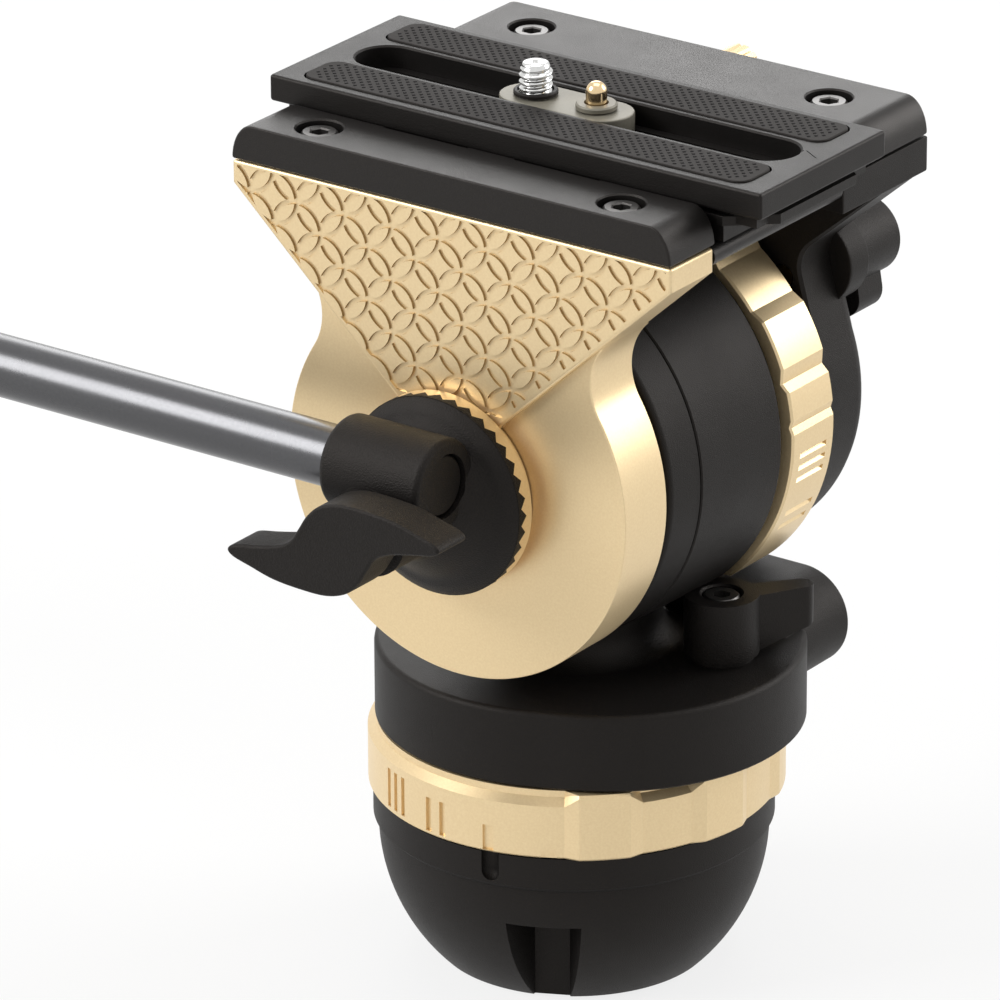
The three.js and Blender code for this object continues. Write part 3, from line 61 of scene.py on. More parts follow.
# Camera: the photograph's view, from far away through a long lens
cameraValues = {
    "azimuth": 35.8, "elevation": 22.82, "roll": -0.3, "distance": 1614.49, "aimHeight": 90,
    "shiftRight": -13.92, "shiftUp": 1.15, "focalPixels": 8545.7, "sensor": 36, "pixels": 1000,
}


def makeCamera(v):
    azimuth, elevation, roll = v["azimuth"] * deg, v["elevation"] * deg, v["roll"] * deg
    back = Vector((
        math.sin(azimuth) * math.cos(elevation),
        -math.cos(azimuth) * math.cos(elevation),
        math.sin(elevation),
    ))
    level = Vector((math.cos(azimuth), math.sin(azimuth), 0))
    upright = back.cross(level)
    right = level * math.cos(roll) + upright * math.sin(roll)
    up = upright * math.cos(roll) - level * math.sin(roll)
    place = Vector((0, 0, v["aimHeight"])) + back * v["distance"]
    place += right * v["shiftRight"] + up * v["shiftUp"]
    data = bpy.data.cameras.new("studioCamera")
    data.sensor_width = v["sensor"]
    data.lens = v["focalPixels"] / v["pixels"] * v["sensor"]
    data.clip_end = 20
    camera = bpy.data.objects.new("studioCamera", data)
    turn = Matrix((right, up, back)).transposed().to_4x4()
    camera.matrix_world = Matrix.Translation(place * mm) @ turn
    scene.collection.objects.link(camera)
    scene.camera = camera


makeCamera(cameraValues)

# Light: big soft panels over a pale floor, and white wherever nothing stands
studioValues = {
    "lamps": {
        "frontPanel": {"place": (-1.2, -1.3, 1.2), "size": (1.1, 1.1), "power": 29},
        "topPanel": {"place": (-0.1, 0.2, 1.9), "size": (1.5, 1.2), "power": 9},
        "backPanel": {"place": (-1.2, 1.5, 0.9), "size": (1.2, 0.8), "power": 10},
        "rightPanel": {"place": (1.15, 1.5, 0.95), "size": (1.2, 1.2), "power": 22},
    },
    "aim": (0, 0, 0.1), "roomLight": 0.26,
    "floorHalf": 3, "floorColour": (0.93, 0.93, 0.92), "floorWhite": 0.8, "floorRough": 0.9,
}


# 1 where the camera, a reflection or a see-through surface looks
def seenRays(tree):
    path = addNode(tree, "ShaderNodeLightPath")
    seen, output = path, "Is Camera Ray"
    for kind in ("Is Glossy Ray", "Is Transmission Ray"):
        either = addNode(tree, "ShaderNodeMath", operation="MAXIMUM")
        link(tree, (seen, output, either, 0), (path, kind, either, 1))
        seen, output = either, 0
    return seen


def makeStudio(v):
    for name, lamp in v["lamps"].items():
        data = bpy.data.lights.new(name, "AREA")
        data.shape = "RECTANGLE"
        data.size, data.size_y = lamp["size"]
        data.energy = lamp["power"]
        panel = bpy.data.objects.new(name, data)
        panel.location = lamp["place"]
        aim = Vector(v["aim"]) - Vector(lamp["place"])
        panel.rotation_euler = aim.to_track_quat("-Z", "Y").to_euler()
        panel.visible_camera = False
        scene.collection.objects.link(panel)
    scene.world = bpy.data.worlds.new("room")
    scene.world.use_nodes = True
    tree = scene.world.node_tree
    strength = addNode(tree, "ShaderNodeMapRange", {"To Min": v["roomLight"]})
    background = tree.nodes["Background"]
    background.inputs["Color"].default_value = (1, 1, 1, 1)
    link(tree, (seenRays(tree), 0, strength, "Value"), (strength, "Result", background, "Strength"))


def makeFloor(v):
    half = v["floorHalf"]
    mesh = bpy.data.meshes.new("paperFloor")
    corners = [(-half, -half, 0), (half, -half, 0), (half, half, 0), (-half, half, 0)]
    mesh.from_pydata(corners, [], [(0, 1, 2, 3)])
    floor = bpy.data.objects.new("paperFloor", mesh)
    scene.collection.objects.link(floor)
    paper = bpy.data.materials.new("floorPaper")
    paper.use_nodes = True
    tree = paper.node_tree
    body = tree.nodes["Principled BSDF"]
    body.inputs["Base Color"].default_value = (*v["floorColour"], 1)
    body.inputs["Roughness"].default_value = v["floorRough"]
    glow, mix = addNode(tree, "ShaderNodeEmission"), addNode(tree, "ShaderNodeMixShader")
    share = addNode(tree, "ShaderNodeMath", {1: v["floorWhite"]}, operation="MULTIPLY")
    link(tree, (seenRays(tree), 0, share, 0), (share, 0, mix, "Fac"), (body, 0, mix, 1), (glow, 0, mix, 2),
         (mix, 0, tree.nodes["Material Output"], "Surface"))
    mesh.materials.append(paper)


makeStudio(studioValues)
makeFloor(studioValues)
scene.view_settings.view_transform = "Standard"
print("camera, lamps and floor are set")

# Finishes: colour, shine and grain of each material, made of Blender's own patterns
blackPaint = {"colour": (0.0045, 0.0039, 0.0036), "light": (0.016, 0.014, 0.013), "gloss": 0.22,
              "tint": (1, 0.92, 0.86), "bump": 0.7, "speck": 0.3}
brightMetal = {"metal": 1.0, "grain": 900, "depth": 0.00002, "bump": 0.1, "speck": 0.4}
fineMetal = {"grain": 2200, "depth": 0.00003, "bump": 0.15, "speck": 0.4}
screwMetal = {"grain": 1800, "depth": 0.00003, "bump": 0.2, "speck": 0.3}
finishValues = {
    "blackCast": {**blackPaint, "rough": 0.5, "grain": 4600, "depth": 0.00012},
    "blackPlate": {**blackPaint, "colour": (0.0045, 0.004, 0.0038), "light": (0.014, 0.013, 0.012), "gloss": 0.24,
                   "rough": 0.42, "grain": 5200, "depth": 0.0001, "bump": 0.6},
    "blackMoulded": {**blackPaint, "rough": 0.46, "grain": 4200, "depth": 0.00012},
    "clampBlack": {**blackPaint, "light": (0.018, 0.016, 0.015), "rough": 0.52, "grain": 3400, "depth": 0.00018,
                   "bump": 0.8, "speck": 0.35},
    "leverBlack": {**blackPaint, "rough": 0.44, "grain": 4000, "depth": 0.00014},
    "railBlack": {**blackPaint, "colour": (0.0055, 0.005, 0.0048), "light": (0.02, 0.018, 0.017), "gloss": 0.3,
                  "rough": 0.38, "grain": 5200, "depth": 0.00009, "bump": 0.6, "speck": 0.4},
    "blackRubber": {**blackPaint, "colour": (0.008, 0.007, 0.0065), "light": (0.02, 0.018, 0.017), "gloss": 0.3,
                    "rough": 0.72, "grain": 2400, "depth": 0.00008, "bump": 0.4, "speck": 0.5},
    # Finish of the pit faces in the rubber pads: painted shade inside the pits
    "padPit": {"colour": (0.010, 0.009, 0.009), "light": (0.014, 0.012, 0.011), "rough": 0.8, "grain": 2400,
               "depth": 0.00004, "bump": 0.2, "speck": 0.3},
    "goldMetal": {**fineMetal, "colour": (0.8, 0.615, 0.355), "light": (0.92, 0.75, 0.47), "metal": 0.6, "rough": 0.36},
    # Darker gold for the walls of the engraved channels: painted shade in the grooves
    "grooveGold": {**fineMetal, "colour": (0.42, 0.29, 0.13), "light": (0.52, 0.38, 0.19), "metal": 0.5, "rough": 0.5},
    "champagne": {**fineMetal, "colour": (0.21, 0.195, 0.155), "light": (0.26, 0.24, 0.195), "metal": 0.3,
                  "rough": 0.46},
    "pinGold": {**brightMetal, "colour": (0.75, 0.56, 0.32), "light": (0.85, 0.66, 0.42), "rough": 0.16, "grain": 2200,
                "speck": 0.3},
    "brightSteel": {**brightMetal, "colour": (0.66, 0.66, 0.65), "light": (0.78, 0.78, 0.77), "rough": 0.16},
    "innerSteel": {**brightMetal, "colour": (0.42, 0.42, 0.42), "light": (0.52, 0.52, 0.52), "rough": 0.34},
    "innerBrass": {**brightMetal, "colour": (0.13, 0.09, 0.04), "light": (0.18, 0.13, 0.06), "rough": 0.34},
    "darkTube": {**fineMetal, "colour": (0.101, 0.101, 0.105), "light": (0.133, 0.133, 0.136), "metal": 1.0,
                 "rough": 0.26, "grain": 1600, "speck": 0.3},
    "darkScrews": {**screwMetal, "colour": (0.03, 0.029, 0.029), "light": (0.06, 0.058, 0.056), "metal": 0.6,
                   "rough": 0.32},
    "screwSteel": {**screwMetal, "colour": (0.09, 0.086, 0.082), "light": (0.16, 0.15, 0.145), "metal": 0.8,
                   "rough": 0.3},
    "levelFluid": {"colour": (0.45, 0.72, 0.18), "light": (0.52, 0.78, 0.25), "rough": 0.08, "grain": 300,
                   "depth": 0.00001, "bump": 0.05, "speck": 0.3},
}


def makeFinish(name, v):
    finish = bpy.data.materials.new(name)
    finish.use_nodes = True
    tree = finish.node_tree
    shader = tree.nodes["Principled BSDF"]
    place = addNode(tree, "ShaderNodeTexCoord")
    grain = addNode(tree, "ShaderNodeTexNoise", {"Scale": v["grain"], "Detail": 2})
    patch = addNode(tree, "ShaderNodeTexNoise", {"Scale": v["grain"] / 40, "Detail": 3})
    blend = addNode(tree, "ShaderNodeMix", {"A": (*v["colour"], 1), "B": (*v["light"], 1)}, data_type="RGBA")
    amount = addNode(tree, "ShaderNodeMapRange", {"From Min": 0.35, "From Max": 0.75, "To Max": v["speck"]})
    rough = addNode(tree, "ShaderNodeMapRange", {"To Min": v["rough"] - 0.04, "To Max": v["rough"] + 0.06})
    bump = addNode(tree, "ShaderNodeBump", {"Strength": v["bump"], "Distance": v["depth"]})
    link(tree, (place, "Object", grain, "Vector"), (place, "Object", patch, "Vector"), (grain, "Fac", amount, "Value"),
         (amount, "Result", blend, "Factor"), (blend, "Result", shader, "Base Color"), (patch, "Fac", rough, "Value"),
         (rough, "Result", shader, "Roughness"), (grain, "Fac", bump, "Height"), (bump, "Normal", shader, "Normal"))
    shader.inputs["Metallic"].default_value = v.get("metal", 0)
    shader.inputs["Specular IOR Level"].default_value = v.get("gloss", 0.5)
    shader.inputs["Specular Tint"].default_value = (*v.get("tint", (1, 1, 1)), 1)
    return finish


finishes = {name: makeFinish(name, v) for name, v in finishValues.items()}
slotFinish = {
    "black_cast": "blackCast", "black_plate": "blackPlate", "black_moulded": "blackMoulded",
    "gold_metal": "goldMetal", "bright_steel": "brightSteel", "inner_steel": "innerSteel",
    "dark_screws": "darkScrews", "champagne": "champagne", "black_rubber": "blackRubber",
    "inner_brass": "innerBrass", "level_fluid": "levelFluid", "dark_tube": "darkTube",
}
print("finishes are mixed")

# CAD nodes keep their shape unless a finer piece replaces them further down
slotOf = {part["node"]: part["material_slot"] for part in frame["record"]["subparts"]}


def dressNodes():
    for name, node in frame["nodes"].items():
        node.data.materials.clear()
        node.data.materials.append(finishes[slotFinish[slotOf[name]]])
        weld = node.modifiers.new("joinFacets", "WELD")
        weld.merge_threshold = 0.00001
        split = node.modifiers.new("keepEdges", "EDGE_SPLIT")
        split.split_angle = 28 * deg
        for face in node.data.polygons:
            face.use_smooth = True
        node.modifiers.new("evenShine", "WEIGHTED_NORMAL")


dressNodes()
print("nodes are dressed")

# Makers' helpers. Lengths are in millimetres and become metres when the mesh is made.
bodyOf = {node: body for body, nodes in frame["record"]["behaviour"]["bodies"].items() for node in nodes}
tiltAxis = 107.45  # height of the tilt axis
tiltLine = ("Y", (0, tiltAxis))
over = 2  # how far a cutter reaches past the surface that it opens


def camelCase(node):
    first, *rest = node.split("_")
    return first + "".join(word.capitalize() for word in rest)


def makeObject(name, points, faces):
    mesh = bpy.data.meshes.new(name)
    mesh.from_pydata([Vector(point) * mm for point in points], [], faces)
    work = bmesh.new()
    work.from_mesh(mesh)
    bmesh.ops.remove_doubles(work, verts=work.verts, dist=0.0000005)
    bmesh.ops.recalc_face_normals(work, faces=work.faces)
    work.to_mesh(mesh)
    work.free()
    piece = bpy.data.objects.new(name, mesh)
    scene.collection.objects.link(piece)
    return piece


def place3(along, across, up, depth):
    if along == "Z":
        return (across, up, depth)
    return (across, depth, up) if along == "Y" else (depth, across, up)


# A flat outline carried from low to high along an axis
def prism(outline, low, high, along="Z"):
    count = len(outline)
    points = [place3(along, a, b, depth) for depth in (low, high) for a, b in outline]
    faces = [tuple(range(count)), tuple(range(count, 2 * count))]
    faces += [(i, (i + 1) % count, count + (i + 1) % count, count + i) for i in range(count)]
    return makeObject("prism", points, faces)


def layered(layers, along="Z"):  # closed outlines of the same count, one above the other
    count = len(layers[0][0])
    points = [place3(along, a, b, depth) for outline, depth in layers for a, b in outline]
    last = count * (len(layers) - 1)
    faces = [tuple(range(count)), tuple(range(last, last + count))]
    for level in range(len(layers) - 1):
        for i in range(count):
            a, b = level * count + i, level * count + (i + 1) % count
            faces.append((a, b, b + count, a + count))
    return makeObject("layered", points, faces)


# A profile of (radius, depth) turned about an axis; it starts and ends on the axis or closes on itself
def turned(profile, along="Z", centre=(0, 0), steps=96):
    loop = profile[0] == profile[-1]
    stations = profile[:-1] if loop else profile
    points, rows = [], []
    for radius, depth in stations:
        row = []
        for i in range(steps if radius > 0 else 1):
            turn = 2 * math.pi * i / steps
            row.append(len(points))
            across, up = centre[0] + radius * math.cos(turn), centre[1] + radius * math.sin(turn)
            points.append(place3(along, across, up, depth))
        rows.append(row * steps if radius == 0 else row)
    faces = []
    pairs = list(zip(rows, rows[1:])) + ([(rows[-1], rows[0])] if loop else [])
    for one, two in pairs:
        for i in range(steps):
            j = (i + 1) % steps
            corners = (one[i], one[j], two[j], two[i])
            faces.append(tuple(dict.fromkeys(corners)))
    return makeObject("turned", points, [face for face in faces if len(face) > 2])


# Round steps of (radius, low, high), one above the other
def stepped(stations, along="Z", centre=(0, 0), steps=48):
    profile = [(radius, depth) for radius, low, high in stations for depth in (low, high)]
    return turned([(0, stations[0][1])] + profile + [(0, stations[-1][2])], along, centre, steps)


def disc(radius, low, high, along="Z", centre=(0, 0), steps=96):
    return stepped([(radius, low, high)], along, centre, steps)


def collar(inner, outer, low, high, edge, along="Z", centre=(0, 0), steps=64):
    return turned([(inner, low), (outer, low), (outer, high - edge), (outer - edge, high), (inner, high), (inner, low)],
                  along, centre, steps)


def block(low, high):
    outline = [(low[0], low[1]), (high[0], low[1]), (high[0], high[1]), (low[0], high[1])]
    return prism(outline, low[2], high[2])


def arc(x, y, radius, start, end, steps=12):
    turns = [(start + (end - start) * i / steps) * deg for i in range(steps + 1)]
    return [(x + radius * math.cos(turn), y + radius * math.sin(turn)) for turn in turns]


def roundEnded(length, width, x=0, y=0, steps=24):
    reach = (length - width) / 2
    return arc(x + reach, y, width / 2, -90, 90, steps) + arc(x - reach, y, width / 2, 90, 270, steps)


def roundCornered(length, width, corner, x=0, y=0, steps=8):
    a, b = length / 2 - corner, width / 2 - corner
    outline = []
    for sideX, sideY, start in ((1, 1, 0), (-1, 1, 90), (-1, -1, 180), (1, -1, 270)):
        outline += arc(x + sideX * a, y + sideY * b, corner, start, start + 90, steps)
    return outline


def spun(points, angle, x=0, y=0):
    c, s = math.cos(angle * deg), math.sin(angle * deg)
    return [(x + a * c - b * s, y + a * s + b * c) for a, b in points]


def throughCurve(points, steps):  # a closed smooth curve through the points
    outline, count = [], len(points)
    for i in range(count):
        p = [Vector(points[(i + k) % count]) for k in (-1, 0, 1, 2)]
        for step in range(steps):
            t = step / steps
            bend, sway = 2 * p[0] - 5 * p[1] + 4 * p[2] - p[3], 3 * p[1] - p[0] - 3 * p[2] + p[3]
            outline.append(tuple(0.5 * (2 * p[1] + (p[2] - p[0]) * t + bend * t ** 2 + sway * t ** 3)))
    return outline


def settleMesh(piece):
    made = bpy.data.meshes.new_from_object(piece.evaluated_get(bpy.context.evaluated_depsgraph_get()))
    old = piece.data
    piece.modifiers.clear()
    piece.data = made
    bpy.data.meshes.remove(old)
    return piece


def combine(piece, tools, operation):
    for tool in tools:
        step = piece.modifiers.new("combine", "BOOLEAN")
        step.operation = operation
        step.solver = "EXACT"
        step.material_mode = "TRANSFER"
        step.object = tool
    settleMesh(piece)
    for tool in tools:
        bpy.data.objects.remove(tool)
    return piece


def cutOut(piece, *tools):
    return combine(piece, tools, "DIFFERENCE")


def fuse(piece, *tools):
    return combine(piece, tools, "UNION")


def soften(piece, width, segments=3, angle=30):
    edge = piece.modifiers.new("softEdges", "BEVEL")
    edge.width = width * mm
    edge.segments = segments
    edge.limit_method = "ANGLE"
    edge.angle_limit = angle * deg
    edge.use_clamp_overlap = True
    return settleMesh(piece)


# The finished piece: smooth faces, its finish, its body, and the CAD node that it stands for
def finishPiece(piece, node, finish=None, sharp=32, inner=None, name=None):
    piece.name = name or camelCase(node)
    cut = [inner is not None and piece.data.materials[face.material_index] == finishes[inner]
           for face in piece.data.polygons]
    piece.data.materials.clear()
    piece.data.materials.append(finishes[finish or slotFinish[slotOf[node]]])
    if inner:
        piece.data.materials.append(finishes[inner])  # pits and grooves keep a darker finish of their own, painted shade in these recesses
    piece.data.polygons.foreach_set("material_index", [int(own) for own in cut])
    piece.data.shade_smooth()
    piece.data.set_sharp_from_angle(angle=sharp * deg)
    weights = piece.modifiers.new("flatFaces", "WEIGHTED_NORMAL")
    weights.keep_sharp = True
    settleMesh(piece)
    piece.data.name = piece.name
    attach(piece, bodyOf[node])
    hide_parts(node)


# Half-ball base: ball, rim, three pockets, drag index and screw holes
ballValues = {
    "radius": 37.5, "centre": 26.5, "rim": 38.5, "rimFoot": 28, "rimTop": 34.3, "bowl": 33.8, "bowlFloor": 22,
    "insert": 8.3, "pocketBack": (25.8, 3.35), "pocketMouth": (40, 8.75), "pocketTop": 19.2, "pocketAngle": -64,
    "index": 1.8, "indexAngle": -79, "indexDepth": 4, "screwReach": 19.1, "screwAngle": -4, "edge": 0.5,
    "screwHead": (4.45, 4), "screwHole": (2.3, 24),
}


def makeBase(v):
    profile = [(v["insert"], 0)]
    for i in range(37):
        z = (v["rimFoot"] - 1) * i / 36
        profile.append((math.sqrt(v["radius"] ** 2 - (z - v["centre"]) ** 2), z))
    profile += [(v["rim"], v["rimFoot"]), (v["rim"], v["rimTop"]), (v["bowl"], v["rimTop"])]
    profile += [(v["bowl"], v["bowlFloor"]), (v["insert"], v["bowlFloor"]), profile[0]]
    ball = turned(profile, steps=144)
    tools = []
    (back, narrow), (mouth, wide) = v["pocketBack"], v["pocketMouth"]
    (head, seat), (hole, end) = v["screwHead"], v["screwHole"]
    for i in range(3):
        wedge = [(back, -narrow), (mouth, -wide), (mouth, wide), (back, narrow)]
        tools.append(prism(spun(wedge, v["pocketAngle"] + 120 * i), -over, v["pocketTop"]))
        x, y = spun([(v["screwReach"], 0)], v["screwAngle"] + 120 * i)[0]
        tools.append(stepped([(head, -over, seat), (hole, seat, end)], "Z", (x, y), 32))
    floor, top = v["rimTop"] - v["indexDepth"], v["rimTop"] + over
    groove = [(0, floor - v["index"])] + [(r, floor - h) for r, h in arc(0, 0, v["index"], 72, 0, 5)]
    tools.append(turned(groove + [(v["index"], top), (0, top)], "Z", spun([(v["rim"], 0)], v["indexAngle"])[0], 32))
    cutOut(ball, *tools)
    finishPiece(soften(ball, v["edge"], 2, 35), "ball_base", name="halfBall")


makeBase(ballValues)

# Drag rings: a band whose radius steps out in grip pads, with one, two and three strokes cut in
ringValues = {
    "rise": 1.1, "padPitch": 36.6, "pad": 13.8, "padSlope": 4, "markDepth": 0.6, "padEdge": 0.5, "footEdge": 0.4,
    "notch": 1.6,
    "pan": {"radius": 39.4, "inner": 34, "low": 34.8, "high": 48.2, "start": -53.4, "pads": 7, "smooth": None,
            "chamfer": (1.6, 2.7), "notches": (-61.7,),
            "marks": ((-79, 1, 0, 2.2, 35.2, 40.3), (-96.3, 2, 5, 1.4, 35.6, 42.5), (-113.6, 3, 3.7, 1.1, 36, 43.9))},
    "tilt": {"radius": 39, "inner": 35.4, "low": 14.4, "high": 28.4, "start": 20.6, "pads": 8, "smooth": (309.4, 362),
             "chamfer": (0.5, 0.5), "notches": (),
             "marks": ((-26.1, 2, 5, 1.4, 17, 25.8), (-8.8, 3, 3.7, 1.1, 17, 25.8))},
}


def makeRing(v, r, along, node):
    slope, smooth, start, pads = v["padSlope"], r["smooth"], r["start"], r["pads"]

    def rise(angle):
        turn = (angle - start + slope) % 360
        index, local = int(turn // v["padPitch"]), turn % v["padPitch"] - slope
        if index < pads:
            past = max(-local, local - v["pad"], 0)
            share = max(0, 1 - past / slope)
        else:
            share = 1 if smooth else 0
        if smooth and 0 <= (angle - smooth[1]) % 360 < slope:
            share = max(share if index < pads else 0, 1 - (angle - smooth[1]) % 360 / slope)
        elif smooth and (angle - smooth[0]) % 360 < smooth[1] - smooth[0]:
            share = 1
        return share

    even = [2.0 * i for i in range(180)]
    lines = list(even)
    for i in range(pads):
        at = start + v["padPitch"] * i
        lines += [at - slope, at, at + v["pad"], at + v["pad"] + slope]
    if smooth:
        lines += [smooth[1], smooth[1] + slope]
    lines = sorted(set(round(line % 360, 3) for line in lines))
    kept = []
    corners = set(lines) - set(even)
    for line in lines:
        if line in corners or all(min(abs(line - c), 360 - abs(line - c)) > 0.7 for c in corners):
            kept.append(line)
    points, faces = [], []
    centre = (0, tiltAxis) if along == "Y" else (0, 0)
    for angle in kept:
        share = rise(angle)
        outer = r["radius"] + v["rise"] * share
        dropR = r["chamfer"][0] * (1 - share) + v["padEdge"] * share
        dropZ = r["chamfer"][1] * (1 - share) + v["padEdge"] * share
        profile = [(r["inner"], r["low"]), (outer - v["footEdge"], r["low"]), (outer, r["low"] + v["footEdge"]),
                   (outer, r["high"] - dropZ), (outer - dropR, r["high"] - dropZ / 2 * (1 - share)),
                   (outer - dropR, r["high"]), (r["inner"], r["high"])]
        for radius, depth in profile:
            points.append(place3(along, centre[0] + radius * math.cos(angle * deg),
                                 centre[1] + radius * math.sin(angle * deg), depth))
    size, count = len(profile), len(kept)
    for i in range(count):
        for k in range(size):
            a, b = i * size + k, i * size + (k + 1) % size
            c, d = (i + 1) % count * size + (k + 1) % size, (i + 1) % count * size + k
            faces.append((a, b, c, d))
    ring = makeObject("band", points, faces)
    tools = []
    reach = r["radius"] + (v["rise"] if smooth else 0)
    for angle, strokes, spacing, width, low, high in r["marks"]:
        for stroke in range(strokes):
            turn = angle + (stroke - (strokes - 1) / 2) * spacing
            flat = 0 if smooth else width / 2
            side = width / 2 if flat else width / 2 * (1 + 1 / v["markDepth"])
            bar = [(reach - v["markDepth"], -flat), (reach + 1, -side), (reach + 1, side)]
            bar += [(reach - v["markDepth"], flat)] if flat else []
            tools.append(prism(spun(bar, turn, *centre), low, high, along))
    for angle in r["notches"]:
        notch = disc(v["notch"], r["radius"] - 0.6, r["radius"] + 3, "X", (0, r["low"]), 32)
        for point in notch.data.vertices:
            x, y = spun([(point.co.x, point.co.y)], angle)[0]
            point.co.x, point.co.y = x, y
        tools.append(notch)
    cutOut(ring, *tools)
    finishPiece(ring, node, sharp=13)


makeRing(ringValues, ringValues["pan"], "Z", "pan_drag_ring")
makeRing(ringValues, ringValues["tilt"], "Y", "tilt_drag_ring")
print("base and drag rings are made")

# Small repeats: copies of one shape laid on marked points by Geometry Nodes
def layCopies(name, shape, spots, finish, size=1.0):
    points = bpy.data.meshes.new(name)
    points.from_pydata([Vector(spot[:3]) * mm for spot in spots], [], [])
    turns = points.attributes.new("turn", "FLOAT_VECTOR", "POINT")
    for i, spot in enumerate(spots):
        turns.data[i].vector = Vector(spot[3:6]) * deg
    carrier = bpy.data.objects.new(name, points)
    scene.collection.objects.link(carrier)
    tree = bpy.data.node_groups.new(name, "GeometryNodeTree")
    sockets = [tree.interface.new_socket(label, in_out="INPUT", socket_type="NodeSocket" + kind)
               for label, kind in (("Geometry", "Geometry"), ("Size", "Float"), ("Shape", "Object"))]
    tree.interface.new_socket("Geometry", in_out="OUTPUT", socket_type="NodeSocketGeometry")
    source, result = tree.nodes.new("NodeGroupInput"), tree.nodes.new("NodeGroupOutput")
    info = addNode(tree, "GeometryNodeObjectInfo")
    turn = addNode(tree, "GeometryNodeInputNamedAttribute", {"Name": "turn"}, data_type="FLOAT_VECTOR")
    copies = addNode(tree, "GeometryNodeInstanceOnPoints")
    real = addNode(tree, "GeometryNodeRealizeInstances")
    paint = addNode(tree, "GeometryNodeSetMaterial", {"Material": finishes[finish]})
    link(tree, (source, "Shape", info, "Object"), (source, "Geometry", copies, "Points"),
         (info, "Geometry", copies, "Instance"), (turn, "Attribute", copies, "Rotation"),
         (source, "Size", copies, "Scale"), (copies, "Instances", real, "Geometry"),
         (real, "Geometry", paint, "Geometry"), (paint, "Geometry", result, "Geometry"))
    step = carrier.modifiers.new("copies", "NODES")
    step.node_group = tree
    step[sockets[1].identifier] = size
    step[sockets[2].identifier] = shape
    settleMesh(carrier)
    bpy.data.objects.remove(shape)
    bpy.data.node_groups.remove(tree)
    return carrier


# Near bracket: disc, triangular cheek with concave fillets, and the engraved circles on its face
bracketValues = {
    "disc": 38.3, "discNear": -37.8, "discFar": -24.5, "cheekNear": -39.6, "cheekFar": -26,
    "halfWidth": 49.4, "top": 54.05, "shoulder": 49.45, "footHalf": 11.9, "footHeight": 15.1, "fillet": 12,
    "bossRoom": 17.8, "edge": 0.6, "discEdge": 0.9, "screwX": 34, "screwY": -33,
    "pitchX": 5.4, "pitchZ": 5.22, "startX": 3.2, "startZ": 156.15, "channel": 0.95, "channelDepth": 0.5,
    "margin": 1.1, "topMargin": 0.8, "shaftBore": (2.4, 7.3, -34.8), "screwBore": 2.3, "screwDepth": 7.5,
}


# Outline of the disc with the two fillets that run up to the cheek's sloping edges
def discOutline(v):
    runX, runZ = v["halfWidth"] - v["footHalf"], v["shoulder"] - v["footHeight"]
    run = math.hypot(runX, runZ)
    alongX, alongZ = runX / run, runZ / run
    lineOut = v["footHalf"] * alongZ - v["footHeight"] * alongX
    centreOut = lineOut + v["fillet"]
    centreAlong = math.sqrt((v["disc"] + v["fillet"]) ** 2 - centreOut ** 2)
    turn = math.atan2(-centreOut, -centreAlong) / deg
    side = [(a * alongX + b * alongZ, a * alongZ - b * alongX)
            for a, b in arc(centreAlong, centreOut, v["fillet"], -90, turn, 24)]
    touch = math.atan2(side[-1][1], side[-1][0]) / deg
    rim = arc(0, 0, v["disc"], touch, -180 - touch, 150)
    outline = side[:-1] + rim + [(-x, z) for x, z in reversed(side[:-1])]
    return [(x, z + tiltAxis) for x, z in outline]


# Channels along interlocking circles: a thin slab over the cheek's face, less the islands left standing
def engravedCircles(v):
    radius = (v["pitchX"] + v["pitchZ"]) / 2
    inner, outer = radius - v["channel"] / 2, radius + v["channel"] / 2
    side = math.degrees(math.acos(radius / math.sqrt(2) / inner))
    petal = []
    for end, middle in ((-radius / 2, 45), (radius / 2, 225)):
        petal += arc(end, end, inner, middle - side, middle + side, 8)[:-1]
    corner = math.degrees(math.acos(radius / outer))
    bow = arc(radius, radius, outer, 270 - corner, 180 + corner, 8)[:-1]
    star = [point for quarter in range(4) for point in spun(bow, 90 * quarter)]
    petals, stars = [], []
    for column in range(-11, 12):
        for row in range(-2, 10):
            odd = (column + row) % 2
            petals.append(((column + 0.5) * radius, 0, (0.5 - row) * radius, 0, 90 * odd, 0))
            if not odd:
                stars.append((column * radius, 0, -row * radius, 0, 0, 0))
    runX, runZ = v["halfWidth"] - v["footHalf"], v["shoulder"] - v["footHeight"]
    rightX, topZ = v["halfWidth"] - v["margin"], v["top"] - v["topMargin"] + tiltAxis
    foot = v["footHeight"] + v["margin"] * math.hypot(runX, runZ) / runX + tiltAxis
    lowZ = foot + (rightX - v["footHalf"]) * runZ / runX
    near, floor = v["cheekNear"], v["cheekNear"] + v["channelDepth"]
    field = prism([(rightX, lowZ), (rightX, topZ), (-rightX, topZ), (-rightX, lowZ), (-v["footHalf"], foot),
                   (v["footHalf"], foot)], near - 1, floor, "Y")
    field.data.materials.append(finishes["goldMetal"])
    islands = []
    for name, outline, spots in (("petals", petal, petals), ("stars", star, stars)):
        # the islands carry the darker gold onto the channel walls, painted shade in the grooves
        laid = layCopies(name, prism(outline, -over, v["channelDepth"] + 1, "Y"), spots, "grooveGold")
        for point in laid.data.vertices:
            point.co.x = point.co.x * v["pitchX"] / radius + v["startX"] * mm
            point.co.y += near * mm
            point.co.z = point.co.z * v["pitchZ"] / radius + v["startZ"] * mm
        islands.append(laid)
    return cutOut(field, *islands)


